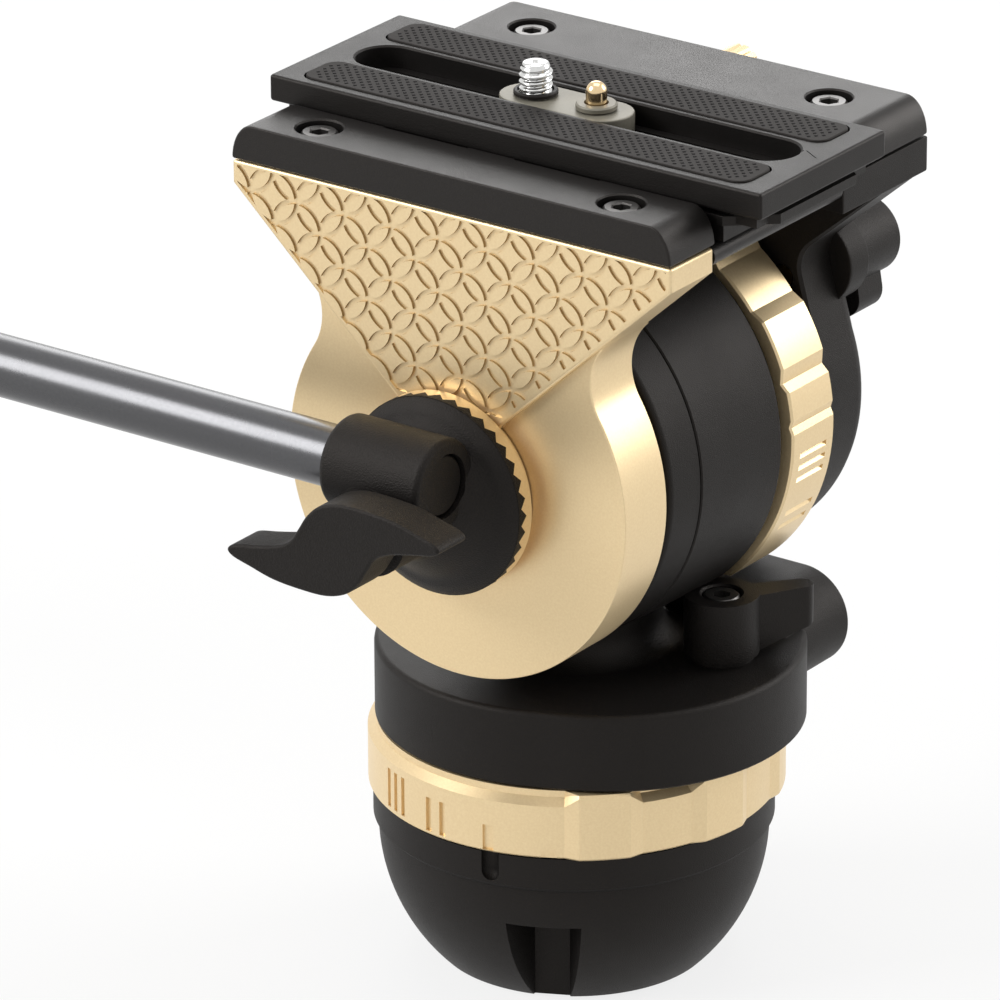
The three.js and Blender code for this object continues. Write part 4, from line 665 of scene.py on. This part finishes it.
def makeBracket(v):
    bracket = soften(prism(discOutline(v), v["discNear"], v["discFar"], "Y"), v["discEdge"], 4, 50)
    outline = [(-v["halfWidth"], v["shoulder"]), (-v["footHalf"], v["footHeight"]), (0, 0),
               (v["footHalf"], v["footHeight"]), (v["halfWidth"], v["shoulder"]), (v["halfWidth"], v["top"]),
               (-v["halfWidth"], v["top"])]
    cheek = prism([(x, z + tiltAxis) for x, z in outline], v["cheekNear"], v["cheekFar"], "Y")
    soften(cheek, v["edge"], 3, 50)
    cutOut(cheek, disc(v["bossRoom"], v["cheekNear"] - over, v["discNear"] + over, *tiltLine, 144))
    fuse(bracket, cheek)
    screw, shaft, seat = v["shaftBore"]
    bores = [stepped([(screw, v["cheekNear"] - over, seat), (shaft, seat, v["discFar"] + over)], *tiltLine)]
    top = v["top"] + tiltAxis
    bores += [disc(v["screwBore"], top - v["screwDepth"], top + over, "Z", (x, v["screwY"]), 24)
              for x in (-v["screwX"], v["screwX"])]
    cutOut(bracket, *bores)
    bracket.data.materials.append(finishes["goldMetal"])
    cutOut(bracket, engravedCircles(v))
    finishPiece(bracket, "near_bracket", sharp=38, inner="grooveGold")


makeBracket(bracketValues)

# Rosette: a gold ring on a narrower neck, with a crown of teeth that runs between the clamp's teeth
rosetteValues = {"radius": 19.3, "neck": 17.4, "foot": -38.1, "back": -40.4, "valley": -42.3, "tip": -43.8, "wall": 3,
                 "bore": 2.4, "teeth": 36, "face": 0.6, "edge": 0.2}


def toothedRing(radius, inner, foot, valley, tip, teeth, phase):
    points, faces, steps = [], [], 2 * teeth
    for i in range(steps):
        turn = (i + phase) * math.pi / teeth
        edge = tip if i % 2 == 0 else valley
        for reach, along in ((radius, foot), (radius, edge), (inner, edge), (inner, foot)):
            points.append((reach * math.cos(turn), along, tiltAxis + reach * math.sin(turn)))
        for side in range(4):
            j = (i + 1) % steps
            faces.append((4 * i + side, 4 * i + (side + 1) % 4, 4 * j + (side + 1) % 4, 4 * j + side))
    return makeObject("toothedRing", points, faces)


def makeRosette(v):
    radius, edge, front = v["radius"], v["edge"], v["valley"] + v["face"]
    plate = turned([(v["bore"], front), (radius - 1.5 * edge, front), (radius, front + edge),
                    (radius, v["back"] - edge), (radius - edge, v["back"]), (v["neck"], v["back"]),
                    (v["neck"], v["foot"]), (v["bore"], v["foot"]), (v["bore"], front)], *tiltLine, 144)
    crown = toothedRing(radius, radius - v["wall"], v["back"] - 1.5 * edge, v["valley"], v["tip"], v["teeth"], 1)
    fuse(plate, crown)
    finishPiece(plate, "rosette_boss")


makeRosette(rosetteValues)
print("bracket is made")

# Handle clamp: crown of pointed teeth, domed flange, hub, and the sleeve that grips the tube
clampValues = {
    "crown": 19.4, "wall": 2.8, "teeth": 36, "valley": -43.9, "tip": -42.4, "foot": -44.6,
    "flange": ((0, -43.9), (19.4, -43.9), (19.4, -44.3), (19.2, -44.8), (18.5, -45.5), (17.6, -46.2), (16.8, -46.7),
               (15.8, -47.1), (14.4, -48.3), (12.8, -50.2), (11.2, -52.0), (9.9, -53.4), (9.1, -54.5), (8.6, -56),
               (8.6, -60), (0, -60)),
    "hub": 8.6, "hubFront": -65.4, "sleeveY": -56, "sleeveZ": 115.8, "sleeve": 9, "left": -11.6, "right": 11,
    "tubeBore": 6.2, "studBore": 2.4, "edge": 0.5, "sleeveEdge": 1.3,
}


def makeClamp(v):
    crown = toothedRing(v["crown"], v["crown"] - v["wall"], v["foot"], v["valley"], v["tip"], v["teeth"], 0)
    clamp = turned(v["flange"], *tiltLine, 144)
    hub = disc(v["hub"], v["hubFront"], -52, *tiltLine)
    edge, line = v["sleeveEdge"], ("X", (v["sleeveY"], v["sleeveZ"]))
    rim = arc(v["sleeve"] - edge, v["left"] + edge, edge, -90, 0, 6)
    rim += arc(v["sleeve"] - edge, v["right"] - edge, edge, 0, 90, 6)
    sleeve = turned([(0, v["left"])] + rim + [(0, v["right"])], *line)
    fuse(clamp, hub, sleeve)
    soften(clamp, v["edge"], 3, 50)
    fuse(clamp, crown)
    bore = disc(v["tubeBore"], v["left"] - over, v["right"] + over, *line, 64)
    cutOut(clamp, bore, disc(v["studBore"], v["hubFront"] - over, v["tip"] + over, *tiltLine, 32))
    finishPiece(clamp, "handle_clamp", "clampBlack", sharp=30)


makeClamp(clampValues)

# S-shaped wing knob: one curved half outline repeated by a half turn, with rounded edges
wingValues = {
    "halfSpan": 24.0, "halfHeight": 9.6, "near": -76.3, "far": -67.4, "edge": 1.5, "stud": 2.1, "studEnd": -37.5,
    "half": ((-0.76, -0.36), (-0.53, -0.22), (-0.4, -0.04), (-0.32, 0.25), (-0.24, 0.56), (-0.12, 0.83), (0.06, 0.98),
             (0.28, 1), (0.56, 0.95), (0.79, 0.81), (0.95, 0.7), (1, 0.57), (0.94, 0.45)),
}


def makeWing(v):
    half = [(x * v["halfSpan"], z * v["halfHeight"]) for x, z in v["half"]]
    outline = throughCurve(half + [(-x, -z) for x, z in half], 6)
    wing = prism([(x, z + tiltAxis) for x, z in outline], v["near"], v["far"], "Y")
    soften(wing, v["edge"], 5, 50)
    fuse(wing, disc(v["stud"], v["near"] + over, v["studEnd"], *tiltLine, 32))
    finishPiece(wing, "wing_knob", "clampBlack", sharp=35)


makeWing(wingValues)

# Handle tube, plug, grip and cap
tubeValues = {
    "radius": 5.9, "wall": 1.4, "end": 9.6, "tail": -318, "y": -56, "z": 115.8, "plug": 8, "grip": 13.5,
    "gripLength": 118,
    "gripShape": ((0.8, 0), (0.9, 0.008), (0.97, 0.04), (0.99, 0.08), (1, 0.12), (0.985, 0.2), (0.96, 0.28),
                  (0.94, 0.35), (0.92, 0.44), (0.91, 0.55), (0.918, 0.66), (0.94, 0.78), (0.96, 0.84), (0.98, 0.9),
                  (0.95, 0.94), (0.86, 0.97), (0.76, 0.99), (0.66, 1)),
}


def makeTube(v):
    centre = (v["y"], v["z"])
    inner = v["radius"] - v["wall"]
    tube = collar(inner, v["radius"], v["tail"], v["end"], 0.4, "X", centre, 96)
    finishPiece(tube, "handle_tube")
    cap, end, stem = v["radius"] - 0.1, v["end"], inner - 0.3
    plug = turned([(0, end - v["plug"]), (stem, end - v["plug"]), (stem, end + 0.05), (cap, end + 0.05),
                   (cap, end + 0.35), (cap - 0.2, end + 0.65), (cap - 0.5, end + 0.8), (0, end + 0.8)], "X", centre)
    finishPiece(plug, "tube_plug")
    tail, bore = v["tail"] + 0.3, v["radius"] + 0.3
    body = [(v["grip"] * wide, tail + v["gripLength"] * along) for wide, along in v["gripShape"]]
    grip = turned([(bore, tail)] + body + [(bore, tail + v["gripLength"]), (bore, tail)], "X", centre)
    finishPiece(grip, "handle_grip", sharp=45)


makeTube(tubeValues)
print("clamp, wing and handle are made")

# Pan body: foot with a rounded shoulder, flared neck, drum, and the lobe at the front
bodyValues = {
    "foot": 38, "stretch": (6, 2.5), "footLow": 48.5, "footTop": 64, "footEdge": 1.2, "lowEdge": 0.4,
    "neck": 17, "neckTop": 75, "flare": 6, "lobe": (25.5, 60), "lobeRadius": 10, "lobeNear": 20, "lobeFar": 41.5,
    "lobeLength": 14, "lobeRoom": 40.4, "drumSeam": -13, "drumGroove": 12.5, "drumFar": 28.7, "drumFarRadius": 39.2,
    "drumSeamRadius": 38.3, "drumEdge": 1.2, "seamEdge": 0.25, "ringBore": 35.1, "grooveFloor": 37.4, "ringNear": 14.1,
    "lock": (29.17, 7.0), "seat": 6.2, "seatTop": 64.9, "hubRoom": 7.7, "hubTop": 77.5, "lockBore": 3.3,
    "drumBore": 32, "drumFloor": 18.7, "spindleRoom": 15.8, "spindleTop": 61.8, "level": (-26, 0), "levelRoom": 7.8,
    "levelFloor": 61.7, "shaftBore": 12, "coverNear": -22, "coverRadius": 37.4, "coverRings": (12, 31.7, 28.7),
    "spigot": 3, "seam": 0.3,
}


def footOutline(v, radius):
    turn = math.degrees(math.atan2(v["stretch"][1], v["stretch"][0]))
    return arc(*v["stretch"], radius, turn - 90, turn + 90, 60) + arc(0, 0, radius, turn + 90, turn + 270, 60)


def makeBody(v):
    foot, low, edge = v["foot"], v["footLow"], v["footEdge"]
    rim = [(foot - v["lowEdge"], low), (foot, low + v["lowEdge"])]
    rim += arc(foot - edge, v["footTop"] - edge, edge, 0, 90, 5)
    body = layered([(footOutline(v, radius), depth) for radius, depth in rim])
    flare = arc(v["neck"] + v["flare"], v["footTop"] - 0.3 + v["flare"], v["flare"], 270, 180, 10)
    neck = turned([(0, v["footTop"] - 2)] + flare + [(v["neck"], v["neckTop"]), (0, v["neckTop"])])
    cutOut(neck, disc(v["drumSeamRadius"] + v["seam"], -80, v["drumSeam"], *tiltLine, 144),
           disc(v["lobeRoom"], v["ringNear"], 80, *tiltLine, 144))
    edge, seam = v["drumEdge"], v["seamEdge"]
    drum = [(0, v["drumSeam"]), (v["drumSeamRadius"] - seam, v["drumSeam"]),
            (v["drumSeamRadius"], v["drumSeam"] + seam)]
    drum += arc(v["drumFarRadius"] - edge, v["drumGroove"] - edge, edge, 0, 90, 5)
    drum += [(v["grooveFloor"], v["drumGroove"]), (v["grooveFloor"], v["ringNear"]), (v["ringBore"], v["ringNear"]),
             (v["ringBore"], v["drumFar"]), (0, v["drumFar"])]
    drum = turned(drum, *tiltLine, 180)
    x, z = v["lobe"]
    back = x - v["lobeLength"]
    outline = arc(x, z, v["lobeRadius"], -90, 90, 32)
    outline += [(back, z + v["lobeRadius"]), (back - 5, v["footTop"]), (back - 5, z - v["lobeRadius"] + 3)]
    lobe = soften(prism(outline, v["lobeNear"], v["lobeFar"], "Y"), 1.0, 4, 50)
    cutOut(lobe, disc(v["lobeRoom"], v["ringNear"], v["drumFar"] + 0.2, *tiltLine, 180))
    fuse(body, neck, drum, lobe, disc(v["seat"], v["footTop"] - 2, v["seatTop"], "Z", v["lock"], 48))
    cutOut(body, disc(v["spindleRoom"], 40, v["spindleTop"], steps=64),
           disc(v["drumBore"], v["drumSeam"] - over, v["drumFloor"], *tiltLine),
           disc(v["shaftBore"], 17, 40, *tiltLine, 64), disc(v["lockBore"], 40, 70, "Z", v["lock"], 32),
           disc(v["hubRoom"], v["seatTop"], v["hubTop"], "Z", v["lock"], 64),
           disc(v["levelRoom"], v["levelFloor"], 70, "Z", v["level"], 64))
    finishPiece(body, "pan_body", sharp=26)
    near, far = v["coverNear"], v["drumSeam"] - v["seam"]
    (bore, outer, inner), spigot = v["coverRings"], far + v["spigot"]
    cover = [(bore, near)] + arc(v["coverRadius"] - edge, near + edge, edge, -90, 0, 5)
    cover += [(v["drumSeamRadius"] - seam, far), (outer, far), (outer, spigot), (inner, spigot), (inner, far),
              (bore, far), (bore, near)]
    finishPiece(turned(cover, *tiltLine, 180), "drum_cover", sharp=26)


makeBody(bodyValues)
print("pan body and drum are made")

# Far arm: round shoulder, waisted neck that flares to the platform, and the lug of the tilt lock
armValues = {
    "near": 29.9, "far": 45, "radius": 37, "shoulder": 4, "rim": 0.6, "leave": 14, "neckHalf": 30.8, "neckHeight": 28.2,
    "neckFillet": 6.5, "flareReach": 16, "blockLow": 47.05, "top": 54.05, "blockNear": 16.3, "blockFar": 44.8,
    "halfLength": 49.4, "lug": (26.9, 133.0), "lugRadius": 9, "lugNear": 39.8, "lugFar": 46.2, "edge": 0.8, "stud": 2.5,
    "shaftBore": (7.3, 42), "screwBore": 2.3, "screws": (34, 34.5),
}


# Neck of the arm above its disc: off the circle, in to the waist and out to the head, inset where the edge is rounded
def armOutline(v, inset):
    reach = v["radius"] - inset - 0.12
    waist = arc(v["neckHalf"] + v["neckFillet"], v["neckHeight"], v["neckFillet"] + inset, 196, 128, 16)
    wide = waist[-1][0] + v["flareReach"]
    side = spun([(reach, 0)], v["leave"]) + waist + [(wide, v["blockLow"] + 0.3), (wide, v["top"] - 0.3)]
    outline = [(0, 0)] + side + [(-x, z) for x, z in reversed(side)]
    return [(x, z + tiltAxis) for x, z in outline]


def makeArm(v):
    shoulder = arc(v["radius"] - v["shoulder"], v["far"] - v["shoulder"], v["shoulder"], 0, 90, 6)
    foot = [(0, v["near"]), (v["radius"] - v["rim"], v["near"]), (v["radius"], v["near"] + v["rim"])]
    arm = turned(foot + shoulder + [(0, v["far"])], *tiltLine, 144)
    layers = [(armOutline(v, v["rim"]), v["near"]), (armOutline(v, 0), v["near"] + v["rim"])]
    layers += [(armOutline(v, v["radius"] - reach), depth) for reach, depth in shoulder]
    flare = layered(layers, "Y")
    low, top, half = v["blockLow"] + tiltAxis, v["top"] + tiltAxis, v["halfLength"]
    head = soften(block((-half, v["blockNear"], low), (half, v["blockFar"], top)), v["edge"] / 2, 2, 50)
    lug = soften(disc(v["lugRadius"], v["lugNear"], v["lugFar"], "Y", v["lug"], 64), 0.5, 2, 50)
    fuse(arm, flare, head, lug)
    (radius, end), (x, y) = v["shaftBore"], v["screws"]
    tools = [disc(radius, 20, end, *tiltLine, 48), disc(v["stud"], 20, 60, "Y", v["lug"], 32)]
    tools += [disc(v["screwBore"], low - 0.5, top + over, "Z", (side * x, y), 24) for side in (-1, 1)]
    cutOut(arm, *tools)
    finishPiece(arm, "far_arm", sharp=30)


makeArm(armValues)

# Platform: bed and two rails with rounded ends, counterbored for their screws
railValues = {
    "bedHalf": 49.5, "bedThick": 4.2, "bedTop": 161.5, "bedNear": -25.7, "bedFar": 16, "half": 49.4, "low": 161.8,
    "height": 7.2, "endRun": 4.8, "edge": 0.55, "near": (-39.9, -25.4), "far": (16.3, 44.8), "screws": (-34, 34),
    "nearScrewY": -33, "farScrewY": 34.5, "counterbore": 4.45, "counterDepth": 4, "bore": 2.3, "lip": 0.3,
    "notches": ((-24.3, -5.2), (5.2, 24.3)), "notchDepth": 0.8, "gib": (-16.8, 24.0, 162.0, 166.2),
    "gibRoom": 19.4, "gibScrew": 2.1, "gibPlace": (3.5, 164.1),
    "head": 3.5, "headHeight": 3, "shank": 2, "key": 1.8, "keyDepth": 1.6,
}


def makeRail(v, near, far, screwY, node, extra):
    half, low, rise = v["half"] - v["endRun"], v["low"], v["height"]
    ends = [(half + v["endRun"] * math.cos(turn * deg), low + rise * math.sin(turn * deg)) for turn in range(9, 91, 9)]
    outline = [(-v["half"], low), (v["half"], low)] + ends + [(-x, z) for x, z in reversed(ends)]
    rail = soften(prism(outline, near, far, "Y"), v["edge"], 3, 50)
    top, wide = low + rise, v["counterbore"]
    seat = top - v["counterDepth"]
    steps = [(v["bore"], low - over, seat), (wide, seat, top - v["lip"]), (wide + v["lip"], top, top + over)]
    cutOut(rail, *[stepped(steps, "Z", (x, screwY), 64) for x in v["screws"]], *extra)
    finishPiece(rail, node, "railBlack", sharp=26)


def makePlatform(v):
    half = v["bedThick"] / 2
    bed = prism(roundEnded(2 * v["bedHalf"], v["bedThick"], 0, v["bedTop"] - half, 12), v["bedNear"], v["bedFar"], "Y")
    finishPiece(bed, "platform_bed", "railBlack")
    inner = v["near"][1] - v["notchDepth"]
    notches = [block((low, inner, 160), (high, inner + 5, 172)) for low, high in v["notches"]]
    makeRail(v, *v["near"], v["nearScrewY"], "near_rail", notches)
    low, high, base, top = v["gib"]
    extra = [block((low, 14, base), (high, v["gibRoom"], top)), disc(v["gibScrew"], 10, 50, "Y", v["gibPlace"], 32)]
    makeRail(v, *v["far"], v["farScrewY"], "far_rail", extra)
    seat = v["low"] + v["height"] - v["counterDepth"] + 0.3
    low, top = seat - v["height"], seat + v["headHeight"]
    shank, head, key = v["shank"], v["head"], v["key"]
    for number in range(4):
        place = (v["screws"][number % 2], (v["nearScrewY"], v["farScrewY"])[number // 2])
        screw = turned([(0, low), (shank, low), (shank, seat), (head, seat), (head, top - 0.4), (head - 0.4, top),
                        (0, top)], "Z", place, 48)
        cutOut(screw, stepped([(key, top - v["keyDepth"], top - 0.25), (key + 0.3, top, top + 1)], "Z", place, 6))
        finishPiece(screw, f"rail_screw_{number + 1}", "screwSteel", sharp=30)


makePlatform(railValues)
print("far arm and platform are made")

# Sliding plate: slab over a waist, a flange with lead-in corners and a runner, all slotted along
plateValues = {
    "x": 3.6, "y": -4.55, "length": 110.5, "width": 40.8, "top": 173.4, "slab": 168.2, "waist": 167.0, "flange": 165.0,
    "foot": 161.9, "waistInset": 2.6, "flangeInset": 1, "lead": (8, 7), "runnerInset": 1.4, "runnerEnd": 9, "edge": 0.6,
    "slot": (98, 12.2, 4.4), "neck": 8.2, "groove": (14, 3.6), "pad": (99.7, 10.7, 3), "recess": (100.3, 11.3, 3.1),
    "offset": 12.8, "sink": 1.3, "padTop": 173.7, "padEdge": 0.3, "pitPitch": 2.0, "pitSize": 1.05, "pitDepth": 0.55,
    "pitMargin": 1.1, "lip": 0.35, "index": (((48.9, -1.8), (48.9, 2.9)), ((49.4, 3.1), (53.0, 0.8))), "stroke": 0.2,
    "strokeDepth": 0.15, "pitRise": 0.2,
}


def centred(v, outline):
    return [(x + v["x"], y + v["y"]) for x, y in outline]


def plateLayer(v, insetX, insetY, low, high):
    x, y = v["length"] / 2 - insetX, v["width"] / 2 - insetY
    return prism(centred(v, [(-x, -y), (x, -y), (x, y), (-x, y)]), low, high)


def makePlate(v):
    plate = soften(plateLayer(v, 0, 0, v["slab"], v["top"]), v["edge"], 3, 50)
    waist = plateLayer(v, v["waistInset"], v["waistInset"], v["flange"] + 0.5, v["slab"] + 0.5)
    runner = plateLayer(v, v["runnerEnd"], v["runnerInset"], v["foot"], v["flange"] + 0.5)
    outX, outY = v["length"] / 2 - v["flangeInset"], v["width"] / 2 - v["flangeInset"]
    leadX, leadY = outX - v["lead"][0], outY - v["lead"][1]
    half = [(leadX, -outY), (outX, -leadY), (outX, leadY), (leadX, outY)]
    flange = prism(centred(v, half + [(-x, -y) for x, y in half]), v["flange"], v["waist"])
    fuse(plate, waist, soften(flange, 0.25, 2, 50), runner)
    length, width, depth = v["slot"]
    top, foot, lip, (groove, rise) = v["top"], v["foot"], v["lip"], v["groove"]
    slot = centred(v, roundEnded(length, width))
    tools = [prism(slot, top - depth, top + over),
             layered([(slot, top - lip), (centred(v, roundEnded(length + 4 * lip, width + 4 * lip)), top + lip)]),
             prism(centred(v, roundEnded(length - width + v["neck"], v["neck"])), foot - over, top + over),
             prism(centred(v, roundEnded(length, groove)), foot - over, foot + rise)]
    tools += [prism(centred(v, roundCornered(*v["recess"], 0, side * v["offset"])), top - v["sink"], top + over)
              for side in (-1, 1)]
    for (x1, y1), (x2, y2) in v["index"]:
        run = 2 * math.hypot(x2 - x1, y2 - y1) / v["stroke"]
        offX, offY = (y1 - y2) / run, (x2 - x1) / run
        stroke = [(x1 + offX, y1 + offY), (x2 + offX, y2 + offY), (x2 - offX, y2 - offY), (x1 - offX, y1 - offY)]
        tools.append(prism(centred(v, stroke), top - v["strokeDepth"], top + 1))
    cutOut(plate, *tools)
    finishPiece(plate, "sliding_plate", sharp=30)
    makePad(v, -v["offset"], "near_pad")
    makePad(v, v["offset"], "far_pad")


def makePad(v, offset, node):
    length, width, corner = v["pad"]
    base, edge = v["top"] - v["sink"] + 0.3, v["padEdge"]
    layers = [(centred(v, roundCornered(length, width, corner, 0, offset)), base)]
    for inset, depth in arc(edge, v["padTop"] - edge, edge, 180, 90, 3):
        outline = roundCornered(length - 2 * inset, width - 2 * inset, corner - inset, 0, offset)
        layers.append((centred(v, outline), depth))
    pad = layered(layers)
    rise, depth = v["pitRise"], v["pitDepth"]
    reach = v["pitSize"] / 2 * (1 + rise / depth)
    pit = makeObject("pit", [(reach, 0, rise), (0, reach, rise), (-reach, 0, rise), (0, -reach, rise), (0, 0, -depth)],
                     [(0, 1, 2, 3), (0, 1, 4), (1, 2, 4), (2, 3, 4), (3, 0, 4)])
    spots, pitch = [], v["pitPitch"]
    rows = int((width / 2 - v["pitMargin"]) / (pitch / 2))
    for row in range(-rows, rows + 1):
        shift = pitch / 2 if row % 2 else 0
        columns = int((length / 2 - v["pitMargin"] - corner / 3 * (abs(row) == rows)) / pitch)
        for column in range(-columns, columns + 1):
            x = column * pitch + shift
            if abs(x) < length / 2 - v["pitMargin"] - (corner / 2 if abs(row) == rows else 0):
                spots.append((v["x"] + x, v["y"] + offset + row * pitch / 2, v["padTop"], 0, 0, 0))
    pad.data.materials.append(finishes["blackRubber"])
    # the pit faces take their own finish, painted shade inside the pits
    cutOut(pad, layCopies("pits", pit, spots, "padPit"))
    finishPiece(pad, node, sharp=30, inner="padPit")


makePlate(plateValues)

# Screw carrier in the slot, with the threaded camera screw and the sprung pin
carrierValues = {
    "x": 1.8, "y": -4.55, "length": 28.2, "width": 11.5, "low": 169.3, "high": 173.1, "edge": 0.4, "keel": 7.6,
    "keelLow": 165.8, "play": 0.3, "around": 48, "perPitch": 10, "slot": (0.8, 1.6),
    "screwX": -5.2, "pinX": 8.5, "screwRadius": 3.175, "threadDepth": 0.62, "threadPitch": 1.27, "screwTop": 179.5,
    "headLow": 162.2, "headTop": 165.44, "head": 6.4, "washer": (4.2, 173.4, 174.2), "bushing": (3.9, 173.4, 174.4),
    "pin": 2, "pinTop": 178.5, "pinLow": 170.1,
}


def makeCarrier(v):
    centre, edge, high = (v["x"], v["y"]), v["edge"], v["high"]
    cap = [(roundEnded(v["length"] - 2 * inset, v["width"] - 2 * inset, *centre), height)
           for inset, height in ((0, v["low"]), (0, high - edge), (edge * 0.3, high - edge * 0.3), (edge, high))]
    carrier = layered(cap)
    keel = roundEnded(v["length"] - v["width"] + v["keel"], v["keel"], *centre)
    fuse(carrier, prism(keel, v["keelLow"], v["low"] + 1))
    screwBore, pinBore = v["screwRadius"] + v["play"], v["pin"] + v["play"]
    screwPlace, pinPlace = (v["screwX"], v["y"]), (v["pinX"], v["y"])
    cutOut(carrier, disc(screwBore, 160, 180, "Z", screwPlace, 48), disc(pinBore, 160, 180, "Z", pinPlace, 32))
    finishPiece(carrier, "screw_carrier", sharp=30)
    radius, low, high = v["washer"]
    finishPiece(collar(screwBore, radius, low, high, 0.25, "Z", screwPlace), "screw_washer", sharp=30)
    radius, low, high = v["bushing"]
    finishPiece(collar(pinBore, radius, low, high, 0.3, "Z", pinPlace), "pin_bushing", sharp=30)
    dome = arc(0, v["pinTop"] - v["pin"], v["pin"], 0, 81, 9)
    pin = turned([(0, v["pinLow"]), (v["pin"], v["pinLow"])] + dome + [(0, v["pinTop"])], "Z", pinPlace, 64)
    finishPiece(pin, "locating_pin", "pinGold", sharp=40)
    makeThread(v)


# Helical thread: one closed skin whose radius rises and falls along the helix
def makeThread(v):
    x, y, around, pitch = v["screwX"], v["y"], v["around"], v["threadPitch"]
    low, high, radius = v["washer"][1] - 1, v["screwTop"] - 0.5, v["screwRadius"]
    core, top, headTop = radius - v["threadDepth"], v["screwTop"], v["headTop"]
    rows = int((high - low) / pitch * v["perPitch"])

    def threadRadius(z, i):
        wave = abs(((z - low) / pitch - i / around) % 1 - 0.5) * 2
        rise = min(1, max(0, (wave - 0.2) / 0.6))
        return radius - v["threadDepth"] * (1 - rise * min(1, (high - z) / pitch))

    stations = [([reach] * around, z) for reach, z in
                ((v["head"], v["headLow"]), (v["head"], headTop), (radius, headTop), (radius, low - 0.6))]
    for row in range(rows + 1):
        z = low + (high - low) * row / rows
        stations.append(([threadRadius(z, i) for i in range(around)], z))
    stations += [([reach] * around, z) for reach, z in
                 ((core - 0.1, high + 0.3), (core - 0.5, top), (1.1, top), (0.9, top - 0.4))]
    turns = [2 * math.pi * i / around for i in range(around)]
    screw = layered([([(x + reach * math.cos(turn), y + reach * math.sin(turn))
                       for reach, turn in zip(reaches, turns)], z) for reaches, z in stations])
    halfSlot, slotDepth = v["slot"]
    foot = v["headLow"]
    cutOut(screw, block((x - 8, y - halfSlot, foot - 1), (x + 8, y + halfSlot, foot + slotDepth)))
    finishPiece(screw, "camera_screw", sharp=50)


makeCarrier(carrierValues)
print("plate, pads and carrier are made")

# Lock levers: round hub with a tapering blade
leverValues = {
    "pan": {"place": (29.17, 7.0), "low": 65.2, "high": 77, "hub": 7.2, "reach": 18.3, "angle": 54, "root": 3.6,
            "tip": 2.1, "tipHeight": 7.4, "edge": 0.9, "well": 3.8, "wellDepth": 3, "wellEdge": 0.4, "stud": (3, 51.7),
            "head": 3.5, "headSink": (2.7, 0.3), "key": (1.8, 1.6)},
    "tilt": {"place": (26.9, 133.0), "near": 46.8, "far": 58.5, "hub": 7.8, "reach": 13.5, "angle": -78, "root": 4.6,
             "tip": 4.2, "wing": (47.1, 55.1), "edge": 0.9, "stud": (2.2, 33.4)},
}


def bladeOutline(v):
    outline = [(0, -v["root"])] + arc(v["reach"] - v["tip"], 0, v["tip"], -90, 90, 20) + [(0, v["root"])]
    return spun(outline, v["angle"], *v["place"])


def makeLevers(v):
    p = v["pan"]
    line, low, high, hub = ("Z", p["place"]), p["low"], p["high"], p["hub"]
    lever, blade = disc(hub, low, high, *line), prism(bladeOutline(p), low + 0.3, high - 0.3)
    tip = p["reach"] + 2
    wedge = [(hub - 0.3, low - 2), (tip, low - 2), (tip, high - p["tipHeight"]), (hub - 0.3, low + 0.3)]
    under = prism(wedge, -hub, hub, "Y")
    for point in under.data.vertices:
        x, y = spun([(point.co.x / mm, point.co.y / mm)], p["angle"], *p["place"])[0]
        point.co.x, point.co.y = x * mm, y * mm
    cutOut(blade, under)
    fuse(lever, blade)
    soften(lever, p["edge"], 4, 50)
    fuse(lever, disc(*p["stud"], low + 3, *line, 48))
    well, rim = p["well"], p["wellEdge"]
    cutOut(lever, stepped([(well, high - p["wellDepth"], high - rim), (well + rim, high, high + over)], *line, 64))
    finishPiece(lever, "pan_lock_lever", "leverBlack", sharp=30)
    radius, (key, depth) = p["head"], p["key"]
    foot, top = (high - sink for sink in p["headSink"])
    head = turned([(0, foot), (radius, foot), (radius, top - 0.4), (radius - 0.4, top), (0, top)], *line, 48)
    cutOut(head, disc(key, top - depth, top + 1, *line, 6))
    finishPiece(head, "pan_lock_screw", "screwSteel", sharp=30)
    t = v["tilt"]
    line = ("Y", t["place"])
    knob = disc(t["hub"], t["near"] + 0.3, t["far"], *line)
    fuse(knob, prism(bladeOutline(t), *t["wing"], "Y"))
    soften(knob, t["edge"], 4, 50)
    fuse(knob, disc(*t["stud"], t["near"] + 3, *line, 48))
    finishPiece(knob, "tilt_lock_knob", "leverBlack", sharp=30)


makeLevers(leverValues)
print("levers are made")
